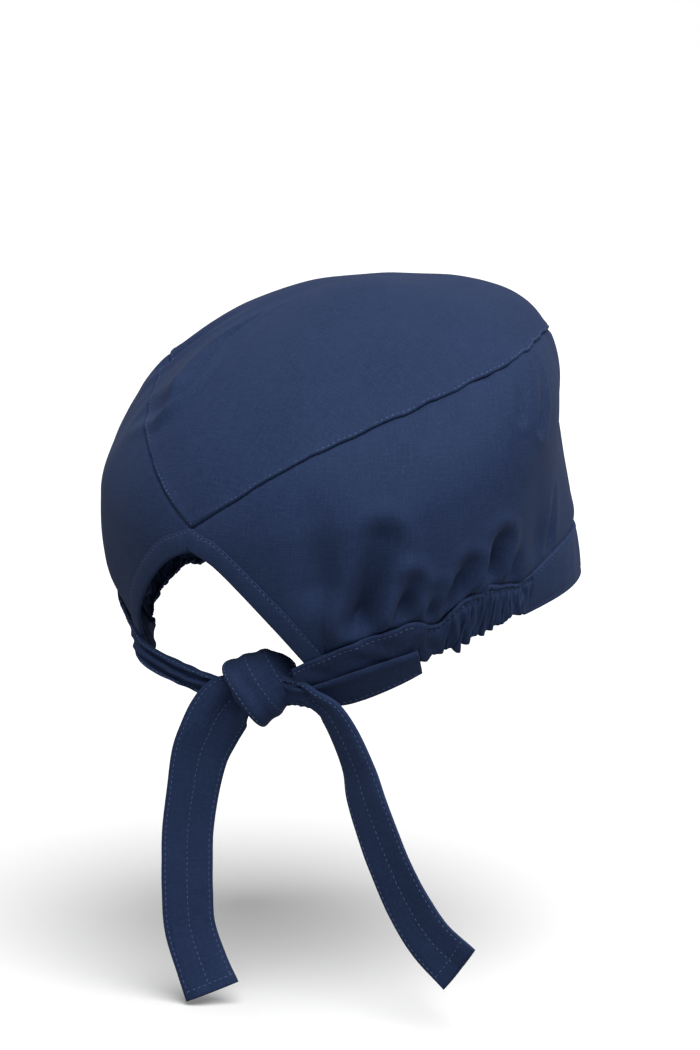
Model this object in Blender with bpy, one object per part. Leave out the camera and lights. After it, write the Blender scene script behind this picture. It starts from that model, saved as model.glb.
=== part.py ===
"""A tie-back scrub cap: crown panel, side panel, keyhole, brow band, elastic casings, ties and knot.

Metres, +Z up. The forehead faces -Y, the back of the head +Y and the wearer's right -X.
The origin is the inside of the crown's highest point, where the head bears on the cap.
"""
import math

import bmesh
import bpy
import numpy as np
from mathutils import Vector

# Driving sizes
CAP_REACH = 0.100          # widest reach of the cloth from the upright axis of the brow opening
CAP_HEIGHT = 0.173         # crown's top down to the lower edge at the nape
AXIS_BEHIND = 0.033        # the brow opening's axis lies this far behind the crown's top
CLOTH_WALL = 0.0012        # lined crown and side panels
BAND_WALL = 0.0024         # folded band, casings and keyhole facings
TIE_WALL = 0.0020          # tie, sewn of folded cloth
BAND_HEIGHT = 0.0205       # brow band, elastic casings and the ties' sewn bases
TIE_WIDTH = 0.0205         # free width of a tie
FACING_WIDTH = 0.0085      # turned hem along the keyhole
GAP = 0.0003               # clearance between neighbouring pieces
SEAM_LIFT = 0.0008         # the crown panel's lapped edge stands this far proud
LAP_REACH = 0.006          # the lapped edge's rise dies away over this width
FOLD_DEPTH = 0.0040        # deepest soft fold of the panels
RUFFLE_DEPTH = 0.0018      # depth of the gathers of an elastic casing
SCALLOP = 0.0014           # rise and fall of a casing's lower edge
KNOT_LENGTH = 0.026        # knot along its sleeve
KNOT_WIDTH = 0.030         # knot across its sleeve
KNOT_DEPTH = 0.022
KNOT_SIDE = 0.0188         # knot's centre towards the wearer's right
KNOT_RISE = 0.0196         # knot's centre above the lower edge at the nape
KNOT_TILT = 28.0           # rise of the sleeve towards the wearer's right, in degrees
TAIL_LENGTH = 0.130        # how far the left tail hangs below the knot's centre

# Places round the head, in degrees from the middle of the back towards either ear
KEYHOLE_CORNER = 33.0      # lower corner of the keyhole, where a tie leaves the cap
TIE_END = 64.0             # front end of a tie's sewn base
CASING_END = 101.0         # front end of an elastic casing
RUFFLES = 10               # gathers along one elastic casing

# The smallest edge that a panel may end in
LEAST_EDGE = 0.0012

# The crown's rings are level from its top out to this share of the seam's reach
LEVEL_SHARE = 0.45

# Stations round the head, alike on both sides. Reaches are shares of CAP_REACH, and shoulder,
# rim and seam are drops below the crown's top as shares of CAP_HEIGHT. Square is the power of
# the rounded corner between wall and crown, 2 for a plain ellipse. Tuck is the power of the
# wall's curve below its widest place, 1 for a straight slope.
STATION_COLUMNS = ("angle", "reach", "shoulder", "square", "rim_reach", "tuck", "rim", "seam")
STATIONS = (
    (0.0, 0.85, 0.57, 1.70, 0.65, 2.00, 1.00, 0.52),
    (30.0, 0.88, 0.53, 1.65, 0.66, 2.30, 0.94, 0.36),
    (60.0, 0.95, 0.475, 1.70, 0.74, 2.30, 0.845, 0.25),
    (90.0, 0.98, 0.375, 2.10, 0.83, 1.80, 0.76, 0.16),
    (120.0, 0.94, 0.34, 2.35, 0.98, 1.15, 0.705, 0.12),
    (150.0, 0.96, 0.28, 2.60, 1.055, 1.10, 0.69, 0.12),
    (180.0, 0.985, 0.25, 2.60, 1.06, 1.10, 0.70, 0.13),
)

# Edge of the keyhole from its upper point to a lower corner, as shares of both spans
KEYHOLE_COLUMNS = ("angle", "drop")
KEYHOLE_EDGE = ((0.0, 0.0), (0.24, 0.12), (0.48, 0.34), (0.76, 0.67), (1.0, 1.0))

# Soft folds of the panels. Each runs between two places on the wall: angles in degrees, drops as
# shares of CAP_HEIGHT, width as a share of CAP_REACH and depth as a share of FOLD_DEPTH.
FOLD_COLUMNS = ("angle_a", "drop_a", "angle_b", "drop_b", "width", "depth")
FOLDS = (
    (49.0, 0.48, 52.0, 0.66, 0.070, 0.90),
    (61.0, 0.58, 64.0, 0.70, 0.050, 1.00),
    (76.0, 0.50, 82.0, 0.66, 0.060, 1.00),
    (40.0, 0.47, 41.0, 0.66, 0.060, 0.50),
    (106.0, 0.46, 108.0, 0.62, 0.040, 0.60),
    (90.0, 0.56, 92.0, 0.65, 0.045, 0.60),
    (-44.0, 0.30, -30.0, 0.25, 0.045, 0.60),
    (-30.0, 0.25, -46.0, 0.13, 0.045, 0.60),
    (-70.0, 0.52, -74.0, 0.68, 0.060, 0.80),
    (-84.0, 0.50, -88.0, 0.66, 0.060, 0.90),
    (140.0, 0.45, 142.0, 0.60, 0.080, 0.40),
    (-120.0, 0.44, -124.0, 0.60, 0.070, 0.50),
    (172.0, 0.40, 178.0, 0.58, 0.090, 0.35),
)

# The knot's cross sections along its sleeve, as shares of its length, width and depth
KNOT_COLUMNS = ("along", "wide", "deep")
KNOT_SECTIONS = (
    (-0.50, 0.50, 0.55),
    (-0.47, 0.78, 0.80),
    (-0.30, 0.96, 0.95),
    (0.00, 1.00, 1.00),
    (0.30, 0.97, 0.95),
    (0.47, 0.80, 0.80),
    (0.50, 0.52, 0.55),
)

# Routes of the tails from the knot's centre. Down, towards the wearer's left and behind are
# shares of TAIL_LENGTH; turn is the heading of the strap's width in degrees, 0 along X; wide is
# a share of TIE_WIDTH.
TAIL_COLUMNS = ("down", "left", "behind", "turn", "wide")
TAIL_LEFT = (
    (0.020, 0.060, 0.020, 12.0, 0.90),
    (0.055, 0.103, 0.037, 24.0, 1.08),
    (0.096, 0.133, 0.049, 32.0, 1.10),
    (0.151, 0.161, 0.059, 38.0, 1.08),
    (0.224, 0.190, 0.069, 40.0, 1.05),
    (0.335, 0.209, 0.076, 42.0, 1.00),
    (0.460, 0.224, 0.082, 42.0, 1.00),
    (0.560, 0.227, 0.083, 42.0, 1.00),
    (0.655, 0.227, 0.083, 42.0, 1.00),
    (0.770, 0.220, 0.080, 42.0, 1.00),
    (0.886, 0.183, 0.067, 40.0, 1.03),
    (0.965, 0.153, 0.056, 38.0, 1.06),
)
TAIL_RIGHT = (
    (0.000, -0.060, 0.046, -20.0, 0.60),
    (0.005, -0.190, 0.037, -16.0, 0.62),
    (0.064, -0.250, 0.010, -8.0, 0.72),
    (0.134, -0.286, -0.030, -6.0, 0.80),
    (0.215, -0.319, -0.068, -4.0, 0.88),
    (0.303, -0.352, -0.075, 0.0, 0.96),
    (0.419, -0.398, -0.085, 2.0, 1.00),
    (0.506, -0.437, -0.093, 4.0, 1.00),
    (0.605, -0.493, -0.105, 6.0, 1.00),
    (0.702, -0.561, -0.119, 8.0, 1.00),
    (0.776, -0.645, -0.137, 10.0, 1.00),
)

# How each tie runs from its corner of the keyhole into the knot, as shares of TIE_WIDTH
LEAD_RIGHT = {"bunch": 0.0, "flare": 0.0, "leave": 1.0, "middle": 0.42, "end": 0.36, "sag": 0.0}
LEAD_LEFT = {"bunch": 0.75, "flare": 0.32, "leave": 0.40, "middle": 0.22, "end": 0.30, "sag": 0.0}

# How many rows and columns of faces each piece has
PANEL_COLUMNS = 92
CROWN_ROWS = 9
SIDE_ROWS = 8
FACING_COLUMNS = 18
BAND_COLUMNS = 40
GATHER_COLUMNS = 5         # across each gather of a casing
STRAP_COLUMNS = 4
BASE_ROWS = 9              # along a tie's sewn base
FREE_ROWS = 8              # along a tie from the keyhole's corner to the knot
TAIL_ROWS = 22
KNOT_SIDES = 20
FACE_CROWDING = 1.25       # over 1 crowds the side panel's columns towards the keyhole

# Colours, in linear light, and roughness
PANEL_COLOUR = (0.030, 0.046, 0.104, 1.0)
BAND_COLOUR = (0.026, 0.041, 0.094, 1.0)
TIE_COLOUR = (0.024, 0.037, 0.086, 1.0)
CLOTH_ROUGHNESS = 0.85


def table_columns(names, rows):
    """The columns of a short table, by name."""
    return {name: np.array([row[i] for row in rows]) for i, name in enumerate(names)}


STATION = table_columns(STATION_COLUMNS, STATIONS)
KEYHOLE = table_columns(KEYHOLE_COLUMNS, KEYHOLE_EDGE)


def smooth_between(places, values, place, level_start=False, level_end=False):
    """A smooth curve through a column of values, level at an end where that is asked."""
    before = values[1] if level_start else 2 * values[0] - values[1]
    after = values[-2] if level_end else 2 * values[-1] - values[-2]
    x = np.concatenate(([2 * places[0] - places[1]], places, [2 * places[-1] - places[-2]]))
    y = np.concatenate(([before], values, [after]))
    place = min(max(place, places[0]), places[-1])
    i = min(max(int(np.searchsorted(x, place, side="right")) - 1, 1), len(x) - 3)
    span = x[i + 1] - x[i]
    t = (place - x[i]) / span
    rise_a = (y[i + 1] - y[i - 1]) / (x[i + 1] - x[i - 1]) * span
    rise_b = (y[i + 2] - y[i]) / (x[i + 2] - x[i]) * span
    return ((2 * t**3 - 3 * t**2 + 1) * y[i] + (t**3 - 2 * t**2 + t) * rise_a
            + (3 * t**2 - 2 * t**3) * y[i + 1] + (t**3 - t**2) * rise_b)


def station(column, angle):
    """One column of the stations at any angle. The seam comes to a point at the back."""
    folded = abs((angle + 180.0) % 360.0 - 180.0)
    return smooth_between(STATION["angle"], STATION[column], folded, column != "seam", True)


def rim_drop(angle):
    return station("rim", angle) * CAP_HEIGHT


def band_drop(angle):
    """Drop of the band's top line."""
    return rim_drop(angle) - BAND_HEIGHT


def band_edge(angle, share):
    """Drop of a line on the band: share 0 is its lower edge and 1 its top edge, clear of the panel."""
    return rim_drop(angle) - (BAND_HEIGHT - GAP) * share


def seam_drop(angle):
    return station("seam", angle) * CAP_HEIGHT


def wall_reach(angle, drop):
    """Plain reach from the axis, and how far the axis still has to lean towards the crown's top."""
    reach = station("reach", angle) * CAP_REACH
    shoulder = station("shoulder", angle) * CAP_HEIGHT
    if drop < shoulder:
        up = (shoulder - drop) / shoulder
        square = station("square", angle)
        return reach * max(1.0 - up**square, 0.0) ** (1.0 / square), up
    tuck = (drop - shoulder) / (rim_drop(angle) - shoulder)
    slope = tuck ** station("tuck", angle)
    return reach - (reach - station("rim_reach", angle) * CAP_REACH) * slope, 0.0


def plain_wall(angle, drop):
    """A point of the outer surface without its folds."""
    reach, up = wall_reach(angle, drop)
    turn = math.radians(angle)
    return Vector((-math.sin(turn) * reach,
                   math.cos(turn) * reach + AXIS_BEHIND * (1.0 - up * up),
                   CLOTH_WALL - drop))


def wall_normal(angle, drop):
    """Outward direction of the surface without its folds."""
    step = 0.5
    down = 0.0005
    along = plain_wall(angle + step, drop) - plain_wall(angle - step, drop)
    fall = plain_wall(angle, drop + down) - plain_wall(angle, max(drop - down, 0.0))
    return fall.cross(along).normalized()


def arc_per_degree(angle, drop):
    """Length along the wall of one degree of turn."""
    return (plain_wall(angle + 0.5, drop) - plain_wall(angle - 0.5, drop)).length


def fold_depth(angle, drop):
    """How far the soft folds press the cloth in."""
    depth = 0.0
    for angle_a, drop_a, angle_b, drop_b, width, deep in FOLDS:
        across = (angle - angle_a + 180.0) % 360.0 - 180.0
        if abs(across) > 60.0:
            continue
        per_degree = math.radians(1.0) * CAP_REACH
        start = Vector((0.0, drop_a * CAP_HEIGHT))
        end = Vector(((angle_b - angle_a) * per_degree, drop_b * CAP_HEIGHT))
        here = Vector((across * per_degree, drop))
        run = end - start
        share = min(max((here - start).dot(run) / run.length_squared, 0.0), 1.0)
        off = (here - start - run * share).length / (width * CAP_REACH)
        depth += deep * FOLD_DEPTH * math.exp(-off * off)
    return depth


def wall(angle, drop, lift=0.0):
    """A point of the outer surface with its folds, raised by lift."""
    return plain_wall(angle, drop) + wall_normal(angle, drop) * (lift - fold_depth(angle, drop))


def keyhole_drop(angle):
    """Drop of the keyhole's edge, from the facings' join below the seam down to the corner."""
    share = min(abs(angle) / KEYHOLE_CORNER, 1.0)
    top = seam_drop(0.0) + FACING_WIDTH
    return top + (band_drop(KEYHOLE_CORNER) - top) * smooth_between(KEYHOLE["angle"], KEYHOLE["drop"], share)


def facing_drop(angle):
    """Drop of the facing's outer edge, FACING_WIDTH square off the keyhole's edge."""
    angle = abs(angle)
    step = 0.5
    inside = min(angle, KEYHOLE_CORNER - step)
    rise = keyhole_drop(inside + step) - keyhole_drop(max(inside - step, 0.0))
    run = arc_per_degree(inside, keyhole_drop(inside)) * (inside + step - max(inside - step, 0.0))
    slope = rise / run
    past = max(angle - KEYHOLE_CORNER, 0.0) * run / (2 * step)
    return keyhole_drop(angle) + slope * past - FACING_WIDTH * math.hypot(1.0, slope)


def first_angle(room, start, stop):
    """The first angle at which a function of the angle leaves LEAST_EDGE of room, or the last."""
    steps = 400
    for i in range(steps + 1):
        angle = start + (stop - start) * i / steps
        if room(angle) > LEAST_EDGE:
            return angle
    return stop


def new_material(name, colour):
    material = bpy.data.materials.new(name)
    material.use_nodes = True
    shader = material.node_tree.nodes["Principled BSDF"]
    shader.inputs["Base Color"].default_value = colour
    shader.inputs["Roughness"].default_value = CLOTH_ROUGHNESS
    shader.inputs["Metallic"].default_value = 0.0
    material.diffuse_color = colour
    return material


def add_object(name, points, faces, colour):
    """A mesh object with its own material, smooth except over sharp edges."""
    mesh = bpy.data.meshes.new(name)
    mesh.from_pydata([tuple(p) for p in points], [], faces)
    mesh.validate()
    piece = bpy.data.objects.new(name, mesh)
    bpy.context.scene.collection.objects.link(piece)
    mesh.materials.append(new_material(name + "_cloth", colour))
    mesh.shade_smooth()
    mesh.set_sharp_from_angle(angle=math.radians(40.0))
    return piece


def thicken(piece, wall_size, offset):
    """Gives a sheet its wall: offset -1 grows it inwards, 0 both ways."""
    solid = piece.modifiers.new("wall", "SOLIDIFY")
    solid.thickness = wall_size
    solid.offset = offset
    solid.use_even_offset = True
    solid.use_quality_normals = True
    return piece


def sheet(name, rows, colour, wall_size, offset=-1.0, closed=False, pole=None):
    """A sheet of cloth through rows of points. Each row runs round the head, rows go upwards."""
    count = len(rows[0])
    points = [p for row in rows for p in row]
    faces = []
    for r in range(len(rows) - 1):
        for c in range(count if closed else count - 1):
            d = (c + 1) % count
            faces.append((r * count + c, r * count + d, (r + 1) * count + d, (r + 1) * count + c))
    if pole is not None:
        points.append(pole)
        last = (len(rows) - 1) * count
        faces += [(last + c, last + (c + 1) % count, len(points) - 1) for c in range(count)]
    return thicken(add_object(name, points, faces, colour), wall_size, offset)


def top_panel():
    """The leaf-shaped crown panel, pointed at the back, with its lapped edge a little proud.

    Its rings turn level near the crown's top, so that they meet there in a round dome.
    """
    columns = PANEL_COLUMNS
    rows = []
    for r in range(CROWN_ROWS):
        ring = []
        for c in range(columns):
            angle = -360.0 * c / columns
            edge = seam_drop(angle)
            shoulder = station("shoulder", angle) * CAP_HEIGHT
            square = station("square", angle)
            share = math.cos(0.5 * math.pi * r / CROWN_ROWS)
            widest = max(1.0 - ((shoulder - edge) / shoulder) ** square, 0.0) ** (1.0 / square)
            drop = shoulder * (1.0 - (1.0 - (widest * share) ** square) ** (1.0 / square))
            from_edge = (edge - drop) + CAP_REACH * widest * (1.0 - share)
            lift = SEAM_LIFT * math.exp(-(from_edge / LAP_REACH) ** 2)
            ring.append(wall(angle, drop, lift))
        level = sum(p.z for p in ring) / columns
        keep = min(share / LEVEL_SHARE, 1.0)
        keep = keep * keep * (3.0 - 2.0 * keep)
        for p in ring:
            p.z = level + (p.z - level) * keep
        rows.append(ring)
    return sheet("top_panel", rows, PANEL_COLOUR, CLOTH_WALL, closed=True, pole=Vector((0, 0, CLOTH_WALL)))


def side_lower_drop(angle):
    """Lower edge of the side panel: along the facing, then along the band."""
    return min(facing_drop(angle), band_drop(angle)) - GAP


def side_panel():
    """The wall round the head, open at the back where the facings come between its ends."""
    start = first_angle(lambda a: side_lower_drop(a) - seam_drop(a) - GAP, 0.5, KEYHOLE_CORNER)
    half = PANEL_COLUMNS // 2
    steps = [(i / half) ** FACE_CROWDING for i in range(half + 1)]
    angles = [start + (180.0 - start) * s for s in steps]
    angles = [-a for a in angles] + [a for a in reversed(angles[:-1])]
    rows = []
    for r in range(SIDE_ROWS + 1):
        share = r / SIDE_ROWS
        row = []
        for angle in angles:
            low = side_lower_drop(angle)
            high = seam_drop(angle) + GAP
            row.append(wall(angle, low + (high - low) * share))
        rows.append(row)
    return sheet("side_panel", [list(reversed(row)) for row in rows], PANEL_COLOUR, CLOTH_WALL)


def keyhole_facing(name, side):
    """The turned hem along one edge of the keyhole. Side is 1 for the wearer's right."""
    def low_drop(angle):
        return min(keyhole_drop(angle), band_drop(angle) - GAP)

    def high_drop(angle):
        return max(facing_drop(angle), seam_drop(angle) + 2 * GAP)

    last = KEYHOLE_CORNER
    while low_drop(last) - high_drop(last) > LEAST_EDGE and last < TIE_END:
        last += 0.25
    first = math.degrees(0.5 * GAP / (station("reach", 0.0) * CAP_REACH))
    rows = []
    for share in (0.0, 0.5, 1.0):
        row = []
        for i in range(FACING_COLUMNS + 1):
            angle = first + (last - first) * i / FACING_COLUMNS
            low = low_drop(angle)
            row.append(wall(side * angle, low + (high_drop(angle) - low) * share))
        rows.append(row if side < 0 else list(reversed(row)))
    return sheet(name, rows, BAND_COLOUR, BAND_WALL)


def joint_gap(angle):
    """The turn that keeps two pieces clear of each other, end to end along the band."""
    return math.degrees(2 * GAP / (station("rim_reach", angle) * CAP_REACH))


def brow_band():
    """The flat folded band across the forehead, from one casing to the other."""
    start = CASING_END + joint_gap(CASING_END)
    rows = []
    for share in (0.0, 0.5, 1.0):
        row = []
        for i in range(BAND_COLUMNS + 1):
            angle = start + (360.0 - 2 * start) * i / BAND_COLUMNS
            row.append(wall(angle, band_edge(angle, share)))
        rows.append(list(reversed(row)))
    return sheet("brow_band", rows, BAND_COLOUR, BAND_WALL)


def elastic_casing(name, side):
    """A gathered casing between a tie's base and the brow band, with a scalloped lower edge."""
    start = TIE_END + joint_gap(TIE_END)
    count = RUFFLES * GATHER_COLUMNS
    rows = []
    for share in (0.0, 0.35, 0.7, 1.0):
        row = []
        for i in range(count + 1):
            along = i / count
            angle = start + (CASING_END - start) * along
            wave = math.cos(2 * math.pi * RUFFLES * along)
            ends = math.sin(math.pi * along) ** 0.35 if 0 < i < count else 0.0
            scallop = SCALLOP * wave * ends * (1.0 - share)
            puff = RUFFLE_DEPTH * wave * ends * (1.0 - share * share)
            row.append(wall(side * angle, band_edge(angle, share) + scallop, puff))
        rows.append(row if side < 0 else list(reversed(row)))
    return sheet(name, rows, BAND_COLOUR, BAND_WALL)


def knot_axes():
    """The knot's centre and its axes along, across and out of the sleeve."""
    behind = AXIS_BEHIND + station("rim_reach", 0.0) * CAP_REACH
    centre = Vector((-KNOT_SIDE, behind, CLOTH_WALL - (CAP_HEIGHT - KNOT_RISE)))
    tilt = math.radians(KNOT_TILT)
    along = Vector((-math.cos(tilt), 0.0, math.sin(tilt)))
    out = Vector((0.0, 1.0, 0.0))
    return centre, along, out.cross(along), out


def knot_body(name, clearance, colour):
    """The wrapped sleeve of the knot as a rounded barrel, grown on all sides by a clearance."""
    centre, along, across, out = knot_axes()
    rings = []
    for share, wide, deep in KNOT_SECTIONS:
        ring = []
        for i in range(KNOT_SIDES):
            turn = 2 * math.pi * i / KNOT_SIDES
            half_wide = 0.5 * KNOT_WIDTH * wide + clearance
            half_deep = 0.5 * KNOT_DEPTH * deep + clearance
            reach = share * (KNOT_LENGTH + 2 * clearance)
            ring.append(centre + along * reach + across * half_wide * math.cos(turn)
                        + out * half_deep * math.sin(turn))
        rings.append(ring)
    points = [p for ring in rings for p in ring]
    faces = [tuple(reversed(range(KNOT_SIDES)))]
    for r in range(len(rings) - 1):
        for c in range(KNOT_SIDES):
            d = (c + 1) % KNOT_SIDES
            faces.append((r * KNOT_SIDES + c, r * KNOT_SIDES + d,
                          (r + 1) * KNOT_SIDES + d, (r + 1) * KNOT_SIDES + c))
    last = (len(rings) - 1) * KNOT_SIDES
    faces.append(tuple(range(last, last + KNOT_SIDES)))
    body = add_object(name, points, faces, colour)
    turned = bmesh.new()
    turned.from_mesh(body.data)
    bmesh.ops.recalc_face_normals(turned, faces=turned.faces)
    turned.to_mesh(body.data)
    turned.free()
    return body


def strap(name, stations, colour):
    """A flat strap through stations of centre, direction of width and half width."""
    across = [2.0 * i / STRAP_COLUMNS - 1.0 for i in range(STRAP_COLUMNS + 1)]
    rows = [[centre + width_way * half * share for share in across] for centre, width_way, half in stations]
    return sheet(name, rows, colour, TIE_WALL, offset=0.0)


def cut_round(piece, cutter):
    """Cuts a strap back to the knot that it runs into."""
    cut = piece.modifiers.new("knot_clearance", "BOOLEAN")
    cut.operation = "DIFFERENCE"
    cut.solver = "EXACT"
    cut.object = cutter
    return piece


def hermite(a, b, way_a, way_b, t):
    """A smooth path from a to b that leaves along way_a and arrives along way_b."""
    return (a * (2 * t**3 - 3 * t**2 + 1) + way_a * (t**3 - 2 * t**2 + t)
            + b * (3 * t**2 - 2 * t**3) + way_b * (t**3 - t**2))


def tie(name, side, lead, cutter):
    """A tie's sewn base over the band and its free stretch into the knot.

    Lead says how the free stretch is bunched: bunch is the share of width that is gathered away
    at the keyhole's corner, flare how far the lower edge then stands out, leave how far the
    stretch runs on before it turns to the knot, middle the half width halfway, end the half
    width at the knot, and sag how far the stretch hangs below its ends.
    """
    stations = []
    for i in range(BASE_ROWS + 1):
        angle = TIE_END + (KEYHOLE_CORNER - TIE_END) * i / BASE_ROWS
        top = wall(side * angle, band_edge(angle, 1.0))
        fall = wall(side * angle, band_edge(angle, 0.0)) - top
        late = max((i / BASE_ROWS - 0.4) / 0.6, 0.0)
        bunch = lead["bunch"] * late * late * (3.0 - 2.0 * late)
        out = wall_normal(side * angle, rim_drop(angle))
        fall = (fall * (1.0 - bunch) + out * (lead["flare"] * TIE_WIDTH * bunch))
        stations.append((top + fall * 0.5, -fall.normalized(), fall.length * 0.5))
    centre, along, across, _out = knot_axes()
    corner, corner_up, corner_half = stations[-1]
    leave = (corner - stations[-2][0]).normalized()
    knot_up = -across if across.z < 0 else across
    arrive = -side * along
    stretch = (centre - corner).length
    for i in range(1, FREE_ROWS + 1):
        t = i / FREE_ROWS
        place = hermite(corner, centre, leave * stretch * lead["leave"], arrive * stretch * 0.6, t)
        place.z -= lead["sag"] * TIE_WIDTH * math.sin(math.pi * t)
        ease = t * t * (3.0 - 2.0 * t)
        width_way = corner_up.lerp(knot_up, ease).normalized()
        half = corner_half + (lead["end"] * TIE_WIDTH - corner_half) * ease
        half += (lead["middle"] * TIE_WIDTH - half) * math.sin(math.pi * t)
        stations.append((place, width_way, half))
    if side > 0:
        stations.reverse()
    return cut_round(strap(name, stations, TIE_COLOUR), cutter)


def tail(name, route, cutter):
    """A free end of a tie, hanging from the knot to its square hemmed end."""
    columns = table_columns(TAIL_COLUMNS, route)
    centre, _along, _across, _out = knot_axes()
    places = np.linspace(0.0, 1.0, len(route))

    def value(column, t):
        return smooth_between(places, columns[column], t)

    def place_at(t):
        return centre + TAIL_LENGTH * Vector((value("left", t), value("behind", t), -value("down", t)))

    stations = []
    for i in range(TAIL_ROWS + 1):
        t = i / TAIL_ROWS
        here = place_at(t)
        run = (place_at(min(t + 0.02, 1.0)) - place_at(max(t - 0.02, 0.0))).normalized()
        turn = math.radians(value("turn", t))
        width_way = Vector((math.cos(turn), math.sin(turn), 0.0))
        width_way = (width_way - run * width_way.dot(run)).normalized()
        stations.append((here, width_way, 0.5 * TIE_WIDTH * value("wide", t)))
    return cut_round(strap(name, stations, TIE_COLOUR), cutter)


def main():
    for old in list(bpy.data.objects):
        bpy.data.objects.remove(old, do_unlink=True)
    top_panel()
    side_panel()
    keyhole_facing("keyhole_facing_right", 1)
    keyhole_facing("keyhole_facing_left", -1)
    brow_band()
    elastic_casing("elastic_casing_right", 1)
    elastic_casing("elastic_casing_left", -1)
    knot_body("knot", 0.0, TIE_COLOUR)
    cutter = knot_body("knot_space", GAP, TIE_COLOUR)
    cutter.hide_render = True
    cutter.display_type = "WIRE"
    tie("tie_right", 1, LEAD_RIGHT, cutter)
    tie("tie_left", -1, LEAD_LEFT, cutter)
    tail("tie_tail_left", TAIL_LEFT, cutter)
    tail("tie_tail_right", TAIL_RIGHT, cutter)


main()
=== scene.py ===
"""Looks of a tie-back scrub cap: navy woven panels, stitched seams, gathered casings, ties and knot.

Metres, +Z up. The forehead faces -Y, the back of the head +Y and the wearer's right -X.
Angles go round the head from the middle of the back, positive towards the wearer's right, and
a drop is measured down from the crown's top.
"""
import math

import bpy
import numpy as np
from mathutils import Matrix, Vector, noise


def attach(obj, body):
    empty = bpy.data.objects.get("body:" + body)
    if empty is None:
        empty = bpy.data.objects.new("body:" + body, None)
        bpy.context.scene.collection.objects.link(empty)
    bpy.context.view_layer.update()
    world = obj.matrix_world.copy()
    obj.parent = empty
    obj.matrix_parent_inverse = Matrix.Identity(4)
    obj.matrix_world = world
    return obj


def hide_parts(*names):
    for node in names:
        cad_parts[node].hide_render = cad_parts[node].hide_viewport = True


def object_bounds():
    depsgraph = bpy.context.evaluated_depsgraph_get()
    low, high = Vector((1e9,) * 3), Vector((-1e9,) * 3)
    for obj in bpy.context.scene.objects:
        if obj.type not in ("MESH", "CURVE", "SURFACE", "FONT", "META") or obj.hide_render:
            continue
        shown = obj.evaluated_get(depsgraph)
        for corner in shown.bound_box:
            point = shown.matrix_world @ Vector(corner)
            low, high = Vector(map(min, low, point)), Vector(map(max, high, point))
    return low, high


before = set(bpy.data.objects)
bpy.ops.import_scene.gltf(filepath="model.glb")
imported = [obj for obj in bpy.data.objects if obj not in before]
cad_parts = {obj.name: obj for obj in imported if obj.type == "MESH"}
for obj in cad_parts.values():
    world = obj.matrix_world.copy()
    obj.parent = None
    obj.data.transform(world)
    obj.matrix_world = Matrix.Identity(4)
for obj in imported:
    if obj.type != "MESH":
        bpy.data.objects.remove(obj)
CAD_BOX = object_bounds()

# Sizes that the looks share with the solids
CAP_REACH = 0.100
CAP_HEIGHT = 0.173
AXIS_BEHIND = 0.033
CLOTH_WALL = 0.0012
BAND_WALL = 0.0024
TIE_WALL = 0.0020
BAND_HEIGHT = 0.0205
TIE_WIDTH = 0.0205
FACING_WIDTH = 0.0085
KEYHOLE_CORNER = 33.0
TIE_END = 64.0
CASING_END = 101.0
LEVEL_SHARE = 0.45
KNOT_LENGTH = 0.026
KNOT_CENTRE = Vector((-0.0188, 0.098, -0.1522))
TAIL_LENGTH = 0.130

# Walls of single pieces
HEM_WALL = 0.0016
CASING_WALL = 0.0012
OVERLAP_WALL = 0.0015
WRAP_WALL = 0.0016

# The knot's wrap: tilt of its axis and turn of its face, half sizes of its ring, its start and
# sweep in degrees, and its shift along the knot and its rise, both from KNOT_CENTRE
KNOT_TILT = math.radians(32.0)
KNOT_TURN = math.radians(24.0)
WRAP_HALF_WIDE = 0.0128
WRAP_HALF_DEEP = 0.0105
WRAP_START = -462.0
WRAP_SWEEP = 738.0
WRAP_SHIFT = 0.0026
WRAP_RISE = 0.0017
WRAP_SQUARE = 0.85
CORE_HALF_WIDE = 0.0082
CORE_HALF_DEEP = 0.0072

# The weave's flat coordinates: radii that unroll the pieces round the head, the length of a casing,
# and the crown's spread over its dome
SIDE_ROLL = 0.095
HEM_ROLL = 0.088
BROW_ROLL = 0.102
CASING_RUN = 0.085
CROWN_SPREAD = 1.08

# Stations round the head: reaches as shares of CAP_REACH, drops as shares of CAP_HEIGHT
STATION_COLUMNS = ("angle", "reach", "shoulder", "square", "rim_reach", "tuck", "rim", "seam")
STATIONS = (
    (0.0, 0.85, 0.57, 1.70, 0.65, 2.00, 1.00, 0.52),
    (30.0, 0.88, 0.53, 1.65, 0.66, 2.30, 0.94, 0.36),
    (60.0, 0.95, 0.475, 1.70, 0.74, 2.30, 0.845, 0.25),
    (90.0, 0.98, 0.375, 2.10, 0.83, 1.80, 0.76, 0.16),
    (120.0, 0.94, 0.34, 2.35, 0.98, 1.15, 0.705, 0.12),
    (150.0, 0.96, 0.28, 2.60, 1.055, 1.10, 0.69, 0.12),
    (180.0, 0.985, 0.25, 2.60, 1.06, 1.10, 0.70, 0.13),
)
KEYHOLE_EDGE = ((0.0, 0.0), (0.24, 0.12), (0.48, 0.34), (0.76, 0.67), (1.0, 1.0))

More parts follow.
